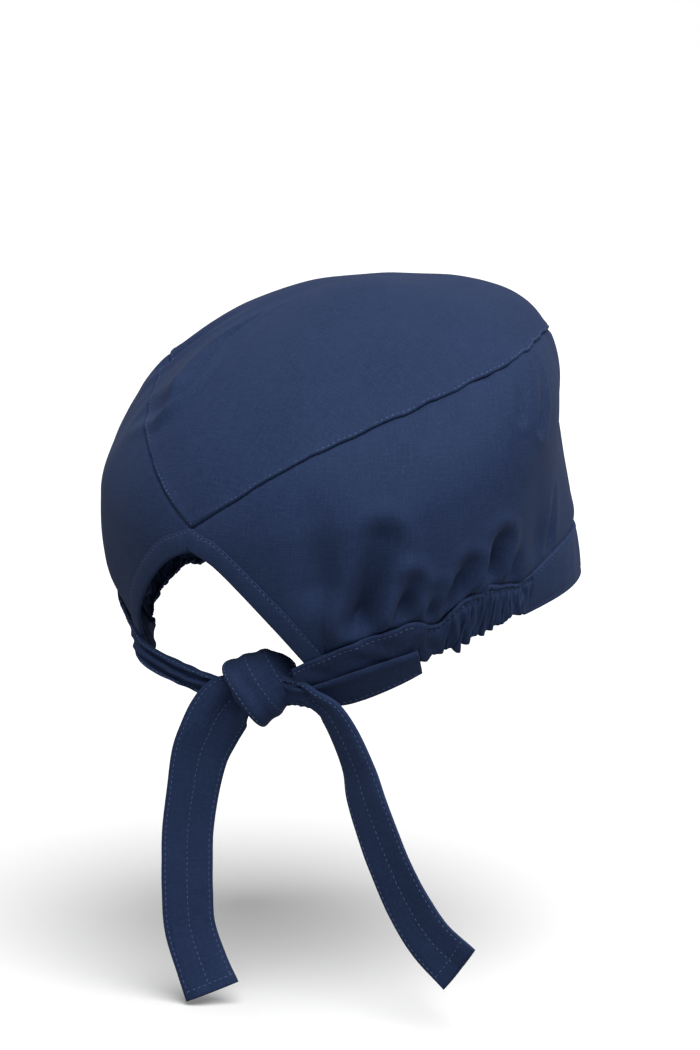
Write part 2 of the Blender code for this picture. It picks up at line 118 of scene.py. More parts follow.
# Soft folds. Each runs between two places on the wall. Columns: angle and drop of its shallow end,
# angle and drop of its deep end, half width, depth, ridge. Angles are in degrees, drops shares of
# CAP_HEIGHT, half widths shares of CAP_REACH, and the ridge is the share of the depth that rises
# beside the fold. A negative depth is a swelling.
FOLDS = (
    (52.0, 0.53, 48.0, 0.71, 0.066, 0.0108, 0.38),
    (59.5, 0.63, 58.0, 0.71, 0.048, 0.0098, 0.36),
    (84.5, 0.55, 83.0, 0.65, 0.048, 0.0122, 0.32),
    (75.0, 0.60, 72.5, 0.68, 0.045, 0.0084, 0.32),
    (66.5, 0.65, 66.0, 0.70, 0.038, 0.0048, 0.30),
    (91.5, 0.60, 91.0, 0.65, 0.036, 0.0040, 0.20),
    (35.5, 0.48, 37.5, 0.62, 0.085, 0.0036, 0.10),
    (110.0, 0.47, 107.5, 0.61, 0.032, 0.0022, 0.35),
    (98.0, 0.42, 100.0, 0.56, 0.080, 0.0016, 0.10),
    (93.0, 0.175, 90.0, 0.27, 0.028, 0.0010, 0.60),
    (104.0, 0.17, 98.0, 0.30, 0.030, 0.0014, 0.55),
    (-47.0, 0.30, -33.0, 0.265, 0.046, 0.0030, 0.50),
    (-48.0, 0.125, -31.0, 0.245, 0.046, 0.0052, 0.45),
    (-72.0, 0.13, -71.0, 0.19, 0.060, 0.0040, 0.30),
    (-70.0, 0.52, -74.0, 0.68, 0.060, 0.0032, 0.30),
    (-84.0, 0.50, -88.0, 0.66, 0.060, 0.0036, 0.30),
    (140.0, 0.45, 142.0, 0.60, 0.080, 0.0016, 0.30),
    (-120.0, 0.44, -124.0, 0.60, 0.070, 0.0020, 0.30),
    (172.0, 0.40, 178.0, 0.58, 0.090, 0.0014, 0.20),
    (127.0, 0.22, 129.0, 0.33, 0.130, 0.0020, 0.00),
    (129.0, 0.50, 131.0, 0.60, 0.140, -0.0026, 0.00),
    (-50.0, 0.50, -50.0, 0.66, 0.160, -0.0016, 0.00),
    (-60.0, 0.22, -56.0, 0.32, 0.140, 0.0012, 0.00),
)
SHALLOW_SHARE = 0.30       # a fold's depth at its shallow end, as a share of its whole depth
RIDGE_PLACE = 1.8          # the ridge's place and width, in half widths of the fold
RIDGE_WIDTH = 0.75
FOLD_CLEAR = 0.0005        # the folds end this far above the ties, casings and band
FOLD_FADE = 0.009          # and fade out over this height

# The top edge of the ties, casings and band, as shares of BAND_HEIGHT above the lower edge:
# each elastic draws it into waves
HEM_TOP = (
    (0.0, 1.00), (33.0, 1.00), (38.0, 1.06), (44.0, 1.10), (52.0, 1.11), (60.0, 1.10), (62.5, 1.08),
    (65.0, 0.92), (69.5, 0.81), (71.5, 0.93), (74.5, 1.07), (78.0, 1.10), (81.0, 1.02), (82.6, 1.13),
    (87.0, 1.00), (91.0, 0.90), (95.0, 0.78), (97.5, 0.82), (101.0, 0.84), (108.0, 0.94), (118.0, 1.00),
    (180.0, 1.00),
)
# Where the folds of the gathered casings reach lowest, in degrees, and how far each hangs out
RUFFLES = (
    (60.0, 0.0), (64.0, 0.1), (68.0, 0.35), (71.6, 0.5), (74.2, 0.7), (76.4, 1.25), (79.2, 0.95),
    (81.6, 0.6), (84.6, 1.1), (87.0, 0.9), (88.8, 0.6), (91.2, 1.1), (93.4, 0.6), (96.0, 0.9), (99.5, 0.4),
)

# The casing's lower edge above the cap's lower edge, as shares of BAND_HEIGHT
CASING_RAISED = (
    (TIE_END - 1.0, 0.13), (TIE_END + 4.0, 0.12), (TIE_END + 9.0, 0.19), (CASING_END - 5.0, 0.22),
    (CASING_END, 0.02),
)

# Routes of the tails from the knot's centre. Columns: down, left and behind as shares of
# TAIL_LENGTH, the heading of the strap's width in degrees, and its width as a share of TIE_WIDTH
TAIL_LEFT = (
    (0.020, 0.060, 0.020, 12.0, 0.90),
    (0.055, 0.098, 0.037, 24.0, 1.13),
    (0.096, 0.127, 0.049, 32.0, 1.17),
    (0.151, 0.155, 0.059, 38.0, 1.15),
    (0.224, 0.185, 0.069, 40.0, 1.10),
    (0.335, 0.207, 0.076, 42.0, 1.02),
    (0.460, 0.224, 0.082, 42.0, 1.00),
    (0.560, 0.227, 0.083, 42.0, 1.00),
    (0.655, 0.227, 0.083, 42.0, 1.00),
    (0.770, 0.220, 0.080, 42.0, 1.00),
    (0.886, 0.183, 0.067, 40.0, 1.03),
    (0.967, 0.151, 0.056, 38.0, 1.10),
)
TAIL_RIGHT = (
    (-0.050, -0.030, -0.010, -10.0, 0.46),
    (-0.022, -0.120, -0.016, -8.0, 0.50),
    (0.008, -0.190, -0.018, -6.0, 0.62),
    (0.046, -0.250, -0.030, -4.0, 0.77),
    (0.115, -0.287, -0.050, -4.0, 0.82),
    (0.215, -0.325, -0.070, -4.0, 0.88),
    (0.303, -0.352, -0.075, 0.0, 0.96),
    (0.419, -0.398, -0.085, 2.0, 1.00),
    (0.506, -0.437, -0.093, 4.0, 1.00),
    (0.605, -0.490, -0.105, 6.0, 1.04),
    (0.702, -0.564, -0.119, 8.0, 1.06),
    (0.777, -0.660, -0.137, 10.0, 1.10),
)
# How a tie runs from its sewn base into the knot: how far it bunches and flares towards the
# keyhole's corner, how far it runs straight on from there, and its half widths midway and at the
# knot as shares of TIE_WIDTH
LEAD_RIGHT = {"bunch": 0.0, "flare": 0.0, "leave": 1.0, "middle": 0.33, "end": 0.26}
LEAD_OVERLAP = {"bunch": 0.0, "flare": 0.0, "leave": 1.0, "middle": 0.22, "end": 0.16}
LEAD_LEFT = {"bunch": 0.75, "flare": 0.32, "leave": 0.40, "middle": 0.22, "end": 0.30}

# Stitching
STITCH_PITCH = 0.0023
STITCH_LENGTH = 0.0017
THREAD_RADIUS = 0.00015
SEAM_STITCH = 0.0021       # topstitch above the crown's lapped edge
SEAM_LAP = 0.0016          # how far the hems run on under the crown's edge
FOOT_UNDER_HEM = 0.0012    # how far the side cloth runs on under the hems
FOOT_UNDER_BAND = 0.0085   # and under the ties, casings and band
STRAP_ROWS = (-0.85, 0.0, 0.85)
OVERLAP_ROWS = (-0.72, 0.92)
WRAP_ROWS = (-0.87, 0.0, 0.70)
BAND_ROWS = (0.11, 0.90)

# The cloth is a plain weave; its threads lie this far apart
THREAD_PITCH = 0.00045

# Colours in linear light
NAVY = (0.0168, 0.0338, 0.0915, 1.0)
NAVY_WORN = (0.0300, 0.0512, 0.1235, 1.0)
# NAVY_DEEP gives darker patches at random, and painted shade in the weave's hollows
NAVY_DEEP = (0.0120, 0.0255, 0.0755, 1.0)
THREAD_BLUE = (0.100, 0.155, 0.315, 1.0)
FLOOR_WHITE = (0.97, 0.97, 0.97, 1.0)
FLOOR_BOUNCE = (0.26, 0.26, 0.26, 1.0)
SHEEN_TINT = (0.55, 0.66, 1.0, 1.0)
SHEEN = 0.06
GLOSS = 0.16


def clamp(value):
    return np.clip(value, 0.0, 1.0)


def hump(at, centre, width):
    """A rounded rise of height 1 at a centre, which fades over a width."""
    return np.exp(-((at - centre) / width) ** 2)


def table_at(table, at):
    """Straight steps between a table's places and its values."""
    return np.interp(at, [row[0] for row in table], [row[1] for row in table])


def smooth_between(places, values, at, level_start=False, level_end=False):
    """A smooth curve through a column of values, level at an end where that is asked."""
    places = np.asarray(places, float)
    values = np.asarray(values, float)
    before = values[1] if level_start else 2 * values[0] - values[1]
    after = values[-2] if level_end else 2 * values[-1] - values[-2]
    x = np.concatenate(([2 * places[0] - places[1]], places, [2 * places[-1] - places[-2]]))
    y = np.concatenate(([before], values, [after]))
    at = np.clip(at, places[0], places[-1])
    i = np.clip(np.searchsorted(x, at, side="right") - 1, 1, len(x) - 3)
    span = x[i + 1] - x[i]
    t = (at - x[i]) / span
    rise_a = (y[i + 1] - y[i - 1]) / (x[i + 1] - x[i - 1]) * span
    rise_b = (y[i + 2] - y[i]) / (x[i + 2] - x[i]) * span
    return ((2 * t**3 - 3 * t**2 + 1) * y[i] + (t**3 - 2 * t**2 + t) * rise_a
            + (3 * t**2 - 2 * t**3) * y[i + 1] + (t**3 - t**2) * rise_b)


def station(column, angle):
    """One column of the stations at any angles. The seam comes to a point at the back."""
    folded = np.abs((np.asarray(angle, float) + 180.0) % 360.0 - 180.0)
    index = STATION_COLUMNS.index(column)
    places = [row[0] for row in STATIONS]
    values = [row[index] for row in STATIONS]
    return smooth_between(places, values, folded, column != "seam", True)


def rim_drop(angle):
    """Drop of the cap's lower edge."""
    return station("rim", angle) * CAP_HEIGHT


def band_drop(angle):
    """Drop of the solids' band top, a BAND_HEIGHT above the lower edge."""
    return rim_drop(angle) - BAND_HEIGHT


def hem_drop(angle):
    """Drop of the top edge of the ties, casings and band."""
    folded = np.abs((np.asarray(angle, float) + 180.0) % 360.0 - 180.0)
    places, shares = zip(*HEM_TOP)
    return rim_drop(angle) - BAND_HEIGHT * smooth_between(places, shares, folded, True, True)


def wander(places, size, seed):
    """Smooth chance values from -1 to 1 along a line of places, one hump about every size."""
    flat = np.asarray(places, float).ravel()
    values = np.array([noise.noise(Vector((p / size, seed * 7.31, seed * 3.17))) for p in flat])
    return np.clip(values.reshape(np.shape(places)) * 1.6, -1.0, 1.0)


def seam_drop(angle):
    """The crown's seam, with the small jogs that sewing leaves."""
    folded = (np.asarray(angle, float) + 180.0) % 360.0 - 180.0
    ends = clamp(np.abs(folded) / 12.0)
    jog = 0.00045 * wander(folded, 7.0, 1) + 0.00024 * wander(folded, 2.6, 2)
    return station("seam", angle) * CAP_HEIGHT + jog * ends


def plain_wall(angle, drop):
    """Points of the outer surface without folds, for arrays of angles and drops."""
    angle, drop = np.broadcast_arrays(np.asarray(angle, float), np.asarray(drop, float))
    reach = station("reach", angle) * CAP_REACH
    shoulder = station("shoulder", angle) * CAP_HEIGHT
    square = station("square", angle)
    up = clamp((shoulder - drop) / shoulder)
    dome = reach * np.maximum(1.0 - up**square, 0.0) ** (1.0 / square)
    tuck = np.maximum((drop - shoulder) / (rim_drop(angle) - shoulder), 0.0)
    slope = tuck ** station("tuck", angle)
    drawn = reach - (reach - station("rim_reach", angle) * CAP_REACH) * slope
    reach = np.where(drop < shoulder, dome, drawn)
    turn = np.radians(angle)
    return np.stack([-np.sin(turn) * reach,
                     np.cos(turn) * reach + AXIS_BEHIND * (1.0 - up * up),
                     CLOTH_WALL - drop], axis=-1)


def unit(vectors):
    return vectors / np.maximum(np.linalg.norm(vectors, axis=-1, keepdims=True), 1e-9)


def wall_normal(angle, drop):
    """Outward directions of the surface without folds."""
    along = plain_wall(angle + 0.5, drop) - plain_wall(angle - 0.5, drop)
    fall = plain_wall(angle, drop + 0.0005) - plain_wall(angle, np.maximum(drop - 0.0005, 0.0))
    return unit(np.cross(fall, along))


def arc_per_degree(angle, drop):
    """Length along the surface for each degree of turn."""
    return np.linalg.norm(plain_wall(angle + 0.5, drop) - plain_wall(angle - 0.5, drop), axis=-1)


def fold_depth(angle, drop):
    """How far the folds press the cloth in, less the ridges beside them."""
    angle, drop = np.broadcast_arrays(np.asarray(angle, float), np.asarray(drop, float))
    depth = np.zeros(angle.shape)
    per_degree = math.radians(1.0) * CAP_REACH
    for angle_a, drop_a, angle_b, drop_b, width, deep, ridge in FOLDS:
        across = (angle - angle_a + 180.0) % 360.0 - 180.0
        x = across * per_degree
        y = drop - drop_a * CAP_HEIGHT
        run_x = (angle_b - angle_a) * per_degree
        run_y = (drop_b - drop_a) * CAP_HEIGHT
        share = clamp((x * run_x + y * run_y) / (run_x**2 + run_y**2))
        off = np.hypot(x - share * run_x, y - share * run_y) / (width * CAP_REACH)
        grown = deep * (SHALLOW_SHARE + (1.0 - SHALLOW_SHARE) * share)
        depth += grown * (hump(off, 0.0, 1.0) - ridge * hump(off, RIDGE_PLACE, RIDGE_WIDTH))
    held = clamp((hem_drop(angle) - FOLD_CLEAR - drop) / FOLD_FADE)
    return depth * held * (2.0 - held)


def wall(angle, drop, lift=0.0):
    """Points of the outer surface with its folds, raised by lift."""
    return plain_wall(angle, drop) + wall_normal(angle, drop) * (lift - fold_depth(angle, drop))[..., None]


def keyhole_drop(angle):
    """Drop of the keyhole's edge."""
    share = np.minimum(np.abs(angle) / KEYHOLE_CORNER, 1.0)
    top = station("seam", 0.0) * CAP_HEIGHT + FACING_WIDTH
    places, drops = zip(*KEYHOLE_EDGE)
    return top + (band_drop(KEYHOLE_CORNER) - top) * smooth_between(places, drops, share)


def facing_drop(angle):
    """Drop of the facing's outer edge, FACING_WIDTH square off the keyhole's edge."""
    angle = np.abs(np.asarray(angle, float))
    inside = np.minimum(angle, KEYHOLE_CORNER - 0.5)
    low = np.maximum(inside - 0.5, 0.0)
    rise = keyhole_drop(inside + 0.5) - keyhole_drop(low)
    run = arc_per_degree(inside, keyhole_drop(inside)) * (inside + 0.5 - low)
    slope = rise / run
    past = np.maximum(angle - KEYHOLE_CORNER, 0.0) * run
    return keyhole_drop(angle) + slope * past - FACING_WIDTH * np.hypot(1.0, slope)


# Materials

def socket(group, name, kind, direction, value=None):
    made = group.interface.new_socket(name=name, socket_type=kind, in_out=direction)
    if value is not None:
        made.default_value = value
    return made


def weave_group():
    """Plain weave with slubs: a colour and a height from the cloth's own flat coordinates."""
    group = bpy.data.node_groups.new("plain_weave", "ShaderNodeTree")
    socket(group, "Ground", "NodeSocketColor", "INPUT", NAVY)
    socket(group, "Worn", "NodeSocketColor", "INPUT", NAVY_WORN)
    socket(group, "Deep", "NodeSocketColor", "INPUT", NAVY_DEEP)
    socket(group, "Colour", "NodeSocketColor", "OUTPUT")
    socket(group, "Roughness", "NodeSocketFloat", "OUTPUT")
    socket(group, "Height", "NodeSocketFloat", "OUTPUT")
    nodes, links = group.nodes, group.links
    given = nodes.new("NodeGroupInput")
    result = nodes.new("NodeGroupOutput")
    uv = nodes.new("ShaderNodeUVMap")
    uv.uv_map = "cloth"

    def mapped(scale):
        node = nodes.new("ShaderNodeMapping")
        node.inputs["Scale"].default_value = scale
        links.new(uv.outputs["UV"], node.inputs["Vector"])
        return node.outputs["Vector"]

    def noise_at(scale, detail):
        node = nodes.new("ShaderNodeTexNoise")
        node.inputs["Scale"].default_value = 1.0
        node.inputs["Detail"].default_value = detail
        node.inputs["Roughness"].default_value = 0.55
        links.new(mapped(scale), node.inputs["Vector"])
        return node.outputs["Fac"]

    def maths(operation, a, b):
        node = nodes.new("ShaderNodeMath")
        node.operation = operation
        for place, value in enumerate((a, b)):
            if isinstance(value, (int, float)):
                node.inputs[place].default_value = value
            else:
                links.new(value, node.inputs[place])
        return node.outputs["Value"]

    def mixed(share, a, b):
        node = nodes.new("ShaderNodeMix")
        node.data_type = "RGBA"
        for place, value in ((0, share), (6, a), (7, b)):
            if isinstance(value, (int, float, tuple)):
                node.inputs[place].default_value = value
            else:
                links.new(value, node.inputs[place])
        return node.outputs[2]

    def band(value, low, high):
        node = nodes.new("ShaderNodeMapRange")
        node.inputs["From Min"].default_value = low
        node.inputs["From Max"].default_value = high
        links.new(value, node.inputs["Value"])
        return node.outputs["Result"]

    turn = math.pi / THREAD_PITCH
    split = nodes.new("ShaderNodeSeparateXYZ")
    links.new(mapped((turn, turn, 1.0)), split.inputs["Vector"])
    warp = maths("SINE", split.outputs["X"], 0.0)
    weft = maths("SINE", split.outputs["Y"], 0.0)
    over = maths("MULTIPLY", warp, weft)
    slub_warp = noise_at((1900.0, 130.0, 1.0), 2.0)
    slub_weft = noise_at((130.0, 1900.0, 1.0), 2.0)
    slubs = maths("ADD", slub_warp, slub_weft)
    cloud = noise_at((22.0, 22.0, 1.0), 3.0)
    fleck = noise_at((900.0, 900.0, 1.0), 1.0)

    ground = mixed(band(cloud, 0.35, 0.70), given.outputs["Deep"], given.outputs["Ground"])
    faded = mixed(maths("MULTIPLY", band(slubs, 0.80, 1.35), 0.55), ground, given.outputs["Worn"])
    flecked = mixed(maths("MULTIPLY", band(fleck, 0.50, 0.76), 0.50), faded, given.outputs["Worn"])
    # Painted shade: where the threads pass under, in the weave's hollows, the colour is mixed a third of
    # the way towards Deep
    links.new(mixed(maths("MULTIPLY", band(over, 0.0, -1.0), 0.34), flecked, given.outputs["Deep"]),
              result.inputs["Colour"])
    links.new(maths("ADD", maths("MULTIPLY", slubs, 0.10), 0.70), result.inputs["Roughness"])
    thread = maths("MULTIPLY", over, 0.30)
    links.new(maths("ADD", thread, slubs), result.inputs["Height"])
    return group


WEAVE = weave_group()


def cloth_material(name):
    """Woven cotton on the piece's own flat coordinates."""
    material = bpy.data.materials.new(name)
    material.use_nodes = True
    nodes, links = material.node_tree.nodes, material.node_tree.links
    shader = nodes["Principled BSDF"]
    weave = nodes.new("ShaderNodeGroup")
    weave.node_tree = WEAVE
    weave.inputs["Ground"].default_value = NAVY
    weave.inputs["Worn"].default_value = NAVY_WORN
    weave.inputs["Deep"].default_value = NAVY_DEEP
    bump = nodes.new("ShaderNodeBump")
    bump.inputs["Strength"].default_value = 0.55
    bump.inputs["Distance"].default_value = 0.00012
    links.new(weave.outputs["Colour"], shader.inputs["Base Color"])
    links.new(weave.outputs["Roughness"], shader.inputs["Roughness"])
    links.new(weave.outputs["Height"], bump.inputs["Height"])
    links.new(bump.outputs["Normal"], shader.inputs["Normal"])
    shader.inputs["Sheen Weight"].default_value = SHEEN
    shader.inputs["Sheen Roughness"].default_value = 0.45
    shader.inputs["Sheen Tint"].default_value = SHEEN_TINT
    shader.inputs["Specular IOR Level"].default_value = GLOSS
    return material


def thread_material():
    """Twisted sewing thread, a little lighter than the cloth."""
    material = bpy.data.materials.new("sewing_thread")
    material.use_nodes = True
    nodes, links = material.node_tree.nodes, material.node_tree.links
    shader = nodes["Principled BSDF"]
    place = nodes.new("ShaderNodeTexCoord")
    twist = nodes.new("ShaderNodeTexNoise")
    twist.inputs["Scale"].default_value = 900.0
    links.new(place.outputs["Object"], twist.inputs["Vector"])
    ramp = nodes.new("ShaderNodeValToRGB")
    ramp.color_ramp.elements[0].position = 0.35
    ramp.color_ramp.elements[0].color = tuple(0.6 * c for c in THREAD_BLUE[:3]) + (1.0,)
    ramp.color_ramp.elements[1].position = 0.65
    ramp.color_ramp.elements[1].color = THREAD_BLUE
    links.new(twist.outputs["Fac"], ramp.inputs["Fac"])
    links.new(ramp.outputs["Color"], shader.inputs["Base Color"])
    shader.inputs["Roughness"].default_value = 0.55
    return material


PANEL_CLOTH = cloth_material("panel_cloth")
BAND_CLOTH = cloth_material("band_cloth")
TIE_CLOTH = cloth_material("tie_cloth")
THREAD = thread_material()


# Meshes

def link_piece(name, mesh):
    """A smooth object of a mesh, on the cap's one body."""
    mesh.shade_smooth()
    piece = bpy.data.objects.new(name, mesh)
    bpy.context.scene.collection.objects.link(piece)
    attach(piece, "root")
    return piece


def cloth_piece(name, points, faces, uv, material):
    """A cloth mesh object with its flat coordinates in metres on the map named cloth."""
    mesh = bpy.data.meshes.new(name)
    mesh.from_pydata([tuple(p) for p in points], [], faces)
    layer = mesh.uv_layers.new(name="cloth")
    corners = np.empty(len(mesh.loops), int)
    mesh.loops.foreach_get("vertex_index", corners)
    layer.data.foreach_set("uv", np.asarray(uv, float)[corners].ravel())
    mesh.materials.append(material)
    return link_piece(name, mesh)


def grid_faces(rows, columns, closed):
    """Four-sided faces between the points of a grid, closed where its last column meets its first."""
    faces = []
    for r in range(rows - 1):
        for c in range(columns if closed else columns - 1):
            d = (c + 1) % columns
            faces.append((r * columns + c, r * columns + d, (r + 1) * columns + d, (r + 1) * columns + c))
    return faces


def faces_inwards(points):
    """Whether a grid's faces look towards the middle of the cap, so that they need turning."""
    across = points[:-1, 1:] - points[:-1, :-1]
    down = points[1:, :-1] - points[:-1, :-1]
    outward = points[:-1, :-1] - np.array([0.0, AXIS_BEHIND, -0.5 * CAP_HEIGHT])
    return np.sum(np.cross(across, down) * outward) < 0.0


def grid_piece(name, points, uv, material, wall_size, closed=False, pole=None):
    """A sheet of cloth through a grid of points, with its wall grown inwards."""
    rows, columns = points.shape[:2]
    flat = list(points.reshape(-1, 3))
    flat_uv = list(np.asarray(uv).reshape(-1, 2))
    faces = grid_faces(rows, columns, closed)
    if pole is not None:
        flat.append(pole[0])
        flat_uv.append(pole[1])
        last = (rows - 1) * columns
        faces += [(last + c, last + (c + 1) % columns, len(flat) - 1) for c in range(columns)]
    if faces_inwards(points):
        faces = [tuple(reversed(face)) for face in faces]
    piece = cloth_piece(name, flat, faces, flat_uv, material)
    solid = piece.modifiers.new("wall", "SOLIDIFY")
    solid.thickness = wall_size
    solid.offset = -1.0
    solid.use_quality_normals = True
    return piece


def ribbon_frame(centres, width_ways):
    """Unit directions along a ribbon, across it and out of its face."""
    run = unit(np.gradient(centres, axis=0))
    across = unit(width_ways - run * np.sum(width_ways * run, axis=1, keepdims=True))
    return run, across, np.cross(run, across)


def ribbon_height(share, rows, puff, wall_size):
    """Half thickness over a strap's width, drawn in at its stitch rows and rounded at its edges."""
    edge = np.sqrt(np.maximum(1.0 - np.abs(share) ** 10, 0.0))
    near = np.min(np.abs(share[:, None] - np.asarray(rows)[None, :]), axis=1)
    return (0.5 * wall_size + puff * (1.0 - hump(near, 0.0, 0.10))) * edge


def ribbon_piece(name, centres, width_ways, halves, material, rows=STRAP_ROWS,
                 puff=0.00025, wall_size=TIE_WALL, waves=None, columns=26):
    """A strap swept along its centre line. Waves moves the cloth out of its face, row by column."""
    across, out = ribbon_frame(centres, width_ways)[1:]
    share = np.sin(np.linspace(-0.5, 0.5, columns) * math.pi)
    thick = ribbon_height(share, rows, puff, wall_size)
    lift = np.zeros((len(centres), columns)) if waves is None else waves(share)
    middle = centres[:, None, :] + across[:, None, :] * (halves[:, None, None] * share[None, :, None])
    middle = middle + out[:, None, :] * lift[..., None]
    top = middle + out[:, None, :] * thick[None, :, None]
    under = middle - out[:, None, :] * thick[None, :, None]
    loop = np.concatenate([top, under[:, -2:0:-1]], axis=1)
    count = loop.shape[1]
    faces = grid_faces(len(centres), count, True)
    faces.append(tuple(reversed(range(count))))
    faces.append(tuple(range((len(centres) - 1) * count, len(centres) * count)))
    length = np.concatenate([[0.0], np.cumsum(np.linalg.norm(np.diff(centres, axis=0), axis=1))])
    across_at = np.concatenate([share, share[-2:0:-1]])
    uv = np.stack(np.broadcast_arrays(length[:, None], halves[:, None] * across_at[None, :]), -1)
    piece = cloth_piece(name, loop.reshape(-1, 3), faces, uv.reshape(-1, 2), material)
    return piece, top, under, out


def stitch_shape():
    """One stitch as a rounded grain, modelled once: points along X, with Z out of the cloth."""
    bpy.ops.object.select_all(action="DESELECT")
    bpy.ops.mesh.primitive_uv_sphere_add(segments=6, ring_count=5, radius=1.0)
    grain = bpy.context.object
    bpy.ops.object.mode_set(mode="EDIT")
    bpy.ops.mesh.select_all(action="SELECT")
    bpy.ops.transform.rotate(value=math.pi / 2, orient_axis="Y", center_override=(0, 0, 0))
    bpy.ops.transform.resize(value=(0.5 * STITCH_LENGTH, THREAD_RADIUS, 0.8 * THREAD_RADIUS),
                             center_override=(0, 0, 0))
    bpy.ops.object.mode_set(mode="OBJECT")
    points = np.array([tuple(v.co) for v in grain.data.vertices])
    points[:, 2] += THREAD_RADIUS * (0.4 - 1.5 * (points[:, 0] / (0.5 * STITCH_LENGTH)) ** 2)
    faces = [tuple(f.vertices) for f in grain.data.polygons]
    bpy.data.objects.remove(grain, do_unlink=True)
    return in_order(points, faces)


def in_order(points, faces):
    """The same shape with its points and faces in a fixed order, so that each run is alike."""
    order = np.lexsort(np.round(points, 8).T)
    rank = [int(place) for place in np.argsort(order)]
    turned = []
    for face in faces:
        face = [rank[point] for point in face]
        first = face.index(min(face))
        turned.append(tuple(face[first:] + face[:first]))
    return points[order], sorted(turned)


STITCH_POINTS, STITCH_FACES = stitch_shape()


def point_on(line, length, at):
    """The point of a line of points at a length along it."""
    return np.array([np.interp(at, length, line[:, k]) for k in range(3)])


def stitch_rows(name, lines):
    """Rows of stitches as one piece. Each line is points on the cloth and their outward directions."""
    points = []
    faces = []
    reach = 0.4 * STITCH_PITCH
    for places, outs in lines:
        steps = np.linalg.norm(np.diff(places, axis=0), axis=1)
        length = np.concatenate([[0.0], np.cumsum(steps)])
        for i in range(int(length[-1] / STITCH_PITCH)):
            middle = (i + 0.5) * STITCH_PITCH
            here = point_on(places, length, middle)
            run = unit(point_on(places, length, middle + reach) - point_on(places, length, middle - reach))
            out = point_on(outs, length, middle)
            out = unit(out - run * np.dot(out, run))
            side = np.cross(out, run)
            base = len(points)
            for x, y, z in STITCH_POINTS:
                points.append(here + run * x + side * y + out * z)
            faces += [tuple(base + v for v in face) for face in STITCH_FACES]
    mesh = bpy.data.meshes.new(name)
    mesh.from_pydata([tuple(p) for p in points], [], faces)
    mesh.materials.append(THREAD)
    return link_piece(name, mesh)


# Crown and side panel

CROWN_COLUMNS = 420
SIDE_COLUMNS = 440
# Rows of points beside the seam, as distances from the crown's edge and below the seam
CROWN_EDGE_ROWS = np.array([0.0, 0.0003, 0.0006, 0.0010, 0.0014, 0.0018, 0.0022, 0.0026,
                            0.0031, 0.0038, 0.0047, 0.0058, 0.0072, 0.0090])
SIDE_TOP_ROWS = np.array([-0.0016, -0.0010, -0.0004, 0.0, 0.0004, 0.0008, 0.0012, 0.0017,
                          0.0024, 0.0032, 0.0042, 0.0055])


def pucker(angle, seed):
    """Short gathers that the seam's stitches draw into the cloth, -1 to 1."""
    return 0.6 * wander(angle, 2.2, seed) + 0.4 * wander(angle, 1.1, seed + 1)


def crown_lift(from_edge, gathers):
    """How far the crown stands proud of the wall near its lapped edge."""
    full = 0.0010 * (1.0 - hump(from_edge, 0.0, 0.022))
    fold = 0.0006 * hump(from_edge, 0.0, 0.0042)
    rolled = -0.0012 * hump(from_edge, 0.0, 0.00045)
    dip = -0.00024 * hump(from_edge, SEAM_STITCH, 0.00055)
    drawn = gathers * 0.00022 * hump(from_edge, 0.0045, 0.0035)
    edge_puff = gathers * 0.00012 * hump(from_edge, 0.001, 0.0006)
    return full + fold + rolled + dip + drawn + edge_puff


def crown_points(angle, share):
    """Points of the crown for rings given as shares of the seam's reach."""
    edge = seam_drop(angle)
    shoulder = station("shoulder", angle) * CAP_HEIGHT
    square = station("square", angle)
    widest = np.maximum(1.0 - ((shoulder - edge) / shoulder) ** square, 0.0) ** (1.0 / square)
    drop = shoulder * (1.0 - (1.0 - (widest * share) ** square) ** (1.0 / square))
    from_edge = (edge - drop) + CAP_REACH * widest * (1.0 - share)
    lift = crown_lift(from_edge, pucker(angle, 11) * np.ones_like(share))
    points = wall(angle, drop, lift)
    level = plain_wall(angle, drop)[..., 2].mean(axis=1, keepdims=True)
    keep = clamp(share / LEVEL_SHARE)
    keep = keep * keep * (3.0 - 2.0 * keep)
    points[..., 2] = level + (points[..., 2] - level) * keep
    return points, from_edge


def crown_panel():
    """The leaf-shaped crown, from its lapped edge up to the pole."""
    angles = -360.0 * np.arange(CROWN_COLUMNS) / CROWN_COLUMNS
    edge_rows = 1.0 - CROWN_EDGE_ROWS / CAP_REACH
    rest = np.cos(np.linspace(math.acos(edge_rows[-1]), 0.5 * math.pi, 46))[1:-1]
    shares = np.concatenate([edge_rows, rest])
    angle, share = np.meshgrid(angles, shares)
    points = crown_points(angle, share)[0]
    points[..., 2] += soft_unevenness(points) * np.clip(1.0 - share, 0.0, 0.3) / 0.3
    uv = points[..., :2] * CROWN_SPREAD
    pole = (np.array([0.0, 0.0, points[-1, :, 2].mean()]), np.array([0.0, 0.0]))
    piece = grid_piece("crown_panel", points, uv, PANEL_CLOTH, CLOTH_WALL,
                       closed=True, pole=pole)
    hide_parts("top_panel")
    crown_topstitch()


def crown_topstitch():
    """The row of stitches at SEAM_STITCH from the crown's edge, found by halving the step."""
    angles = np.linspace(-179.0, 179.0, 900)
    low = np.zeros_like(angles)
    high = np.ones_like(angles)
    for _step in range(30):
        middle = 0.5 * (low + high)
        from_edge = crown_points(angles[:, None], middle[:, None])[1]
        inside = from_edge[:, 0] > SEAM_STITCH
        low = np.where(inside, middle, low)
        high = np.where(inside, high, middle)
    places = crown_points(angles[:, None], low[:, None])[0]
    outs = wall_normal(angles, seam_drop(angles))
    stitch_rows("crown_topstitch", [(places[:, 0], outs)])


def soft_unevenness(points):
    """A slight, broad waviness of cloth that hangs on a head, in metres."""
    flat = points.reshape(-1, 3)
    values = np.array([noise.noise(Vector(p) * 28.0) + 0.5 * noise.noise(Vector(p) * 60.0) for p in flat])
    return (values * 0.0005).reshape(points.shape[:-1])


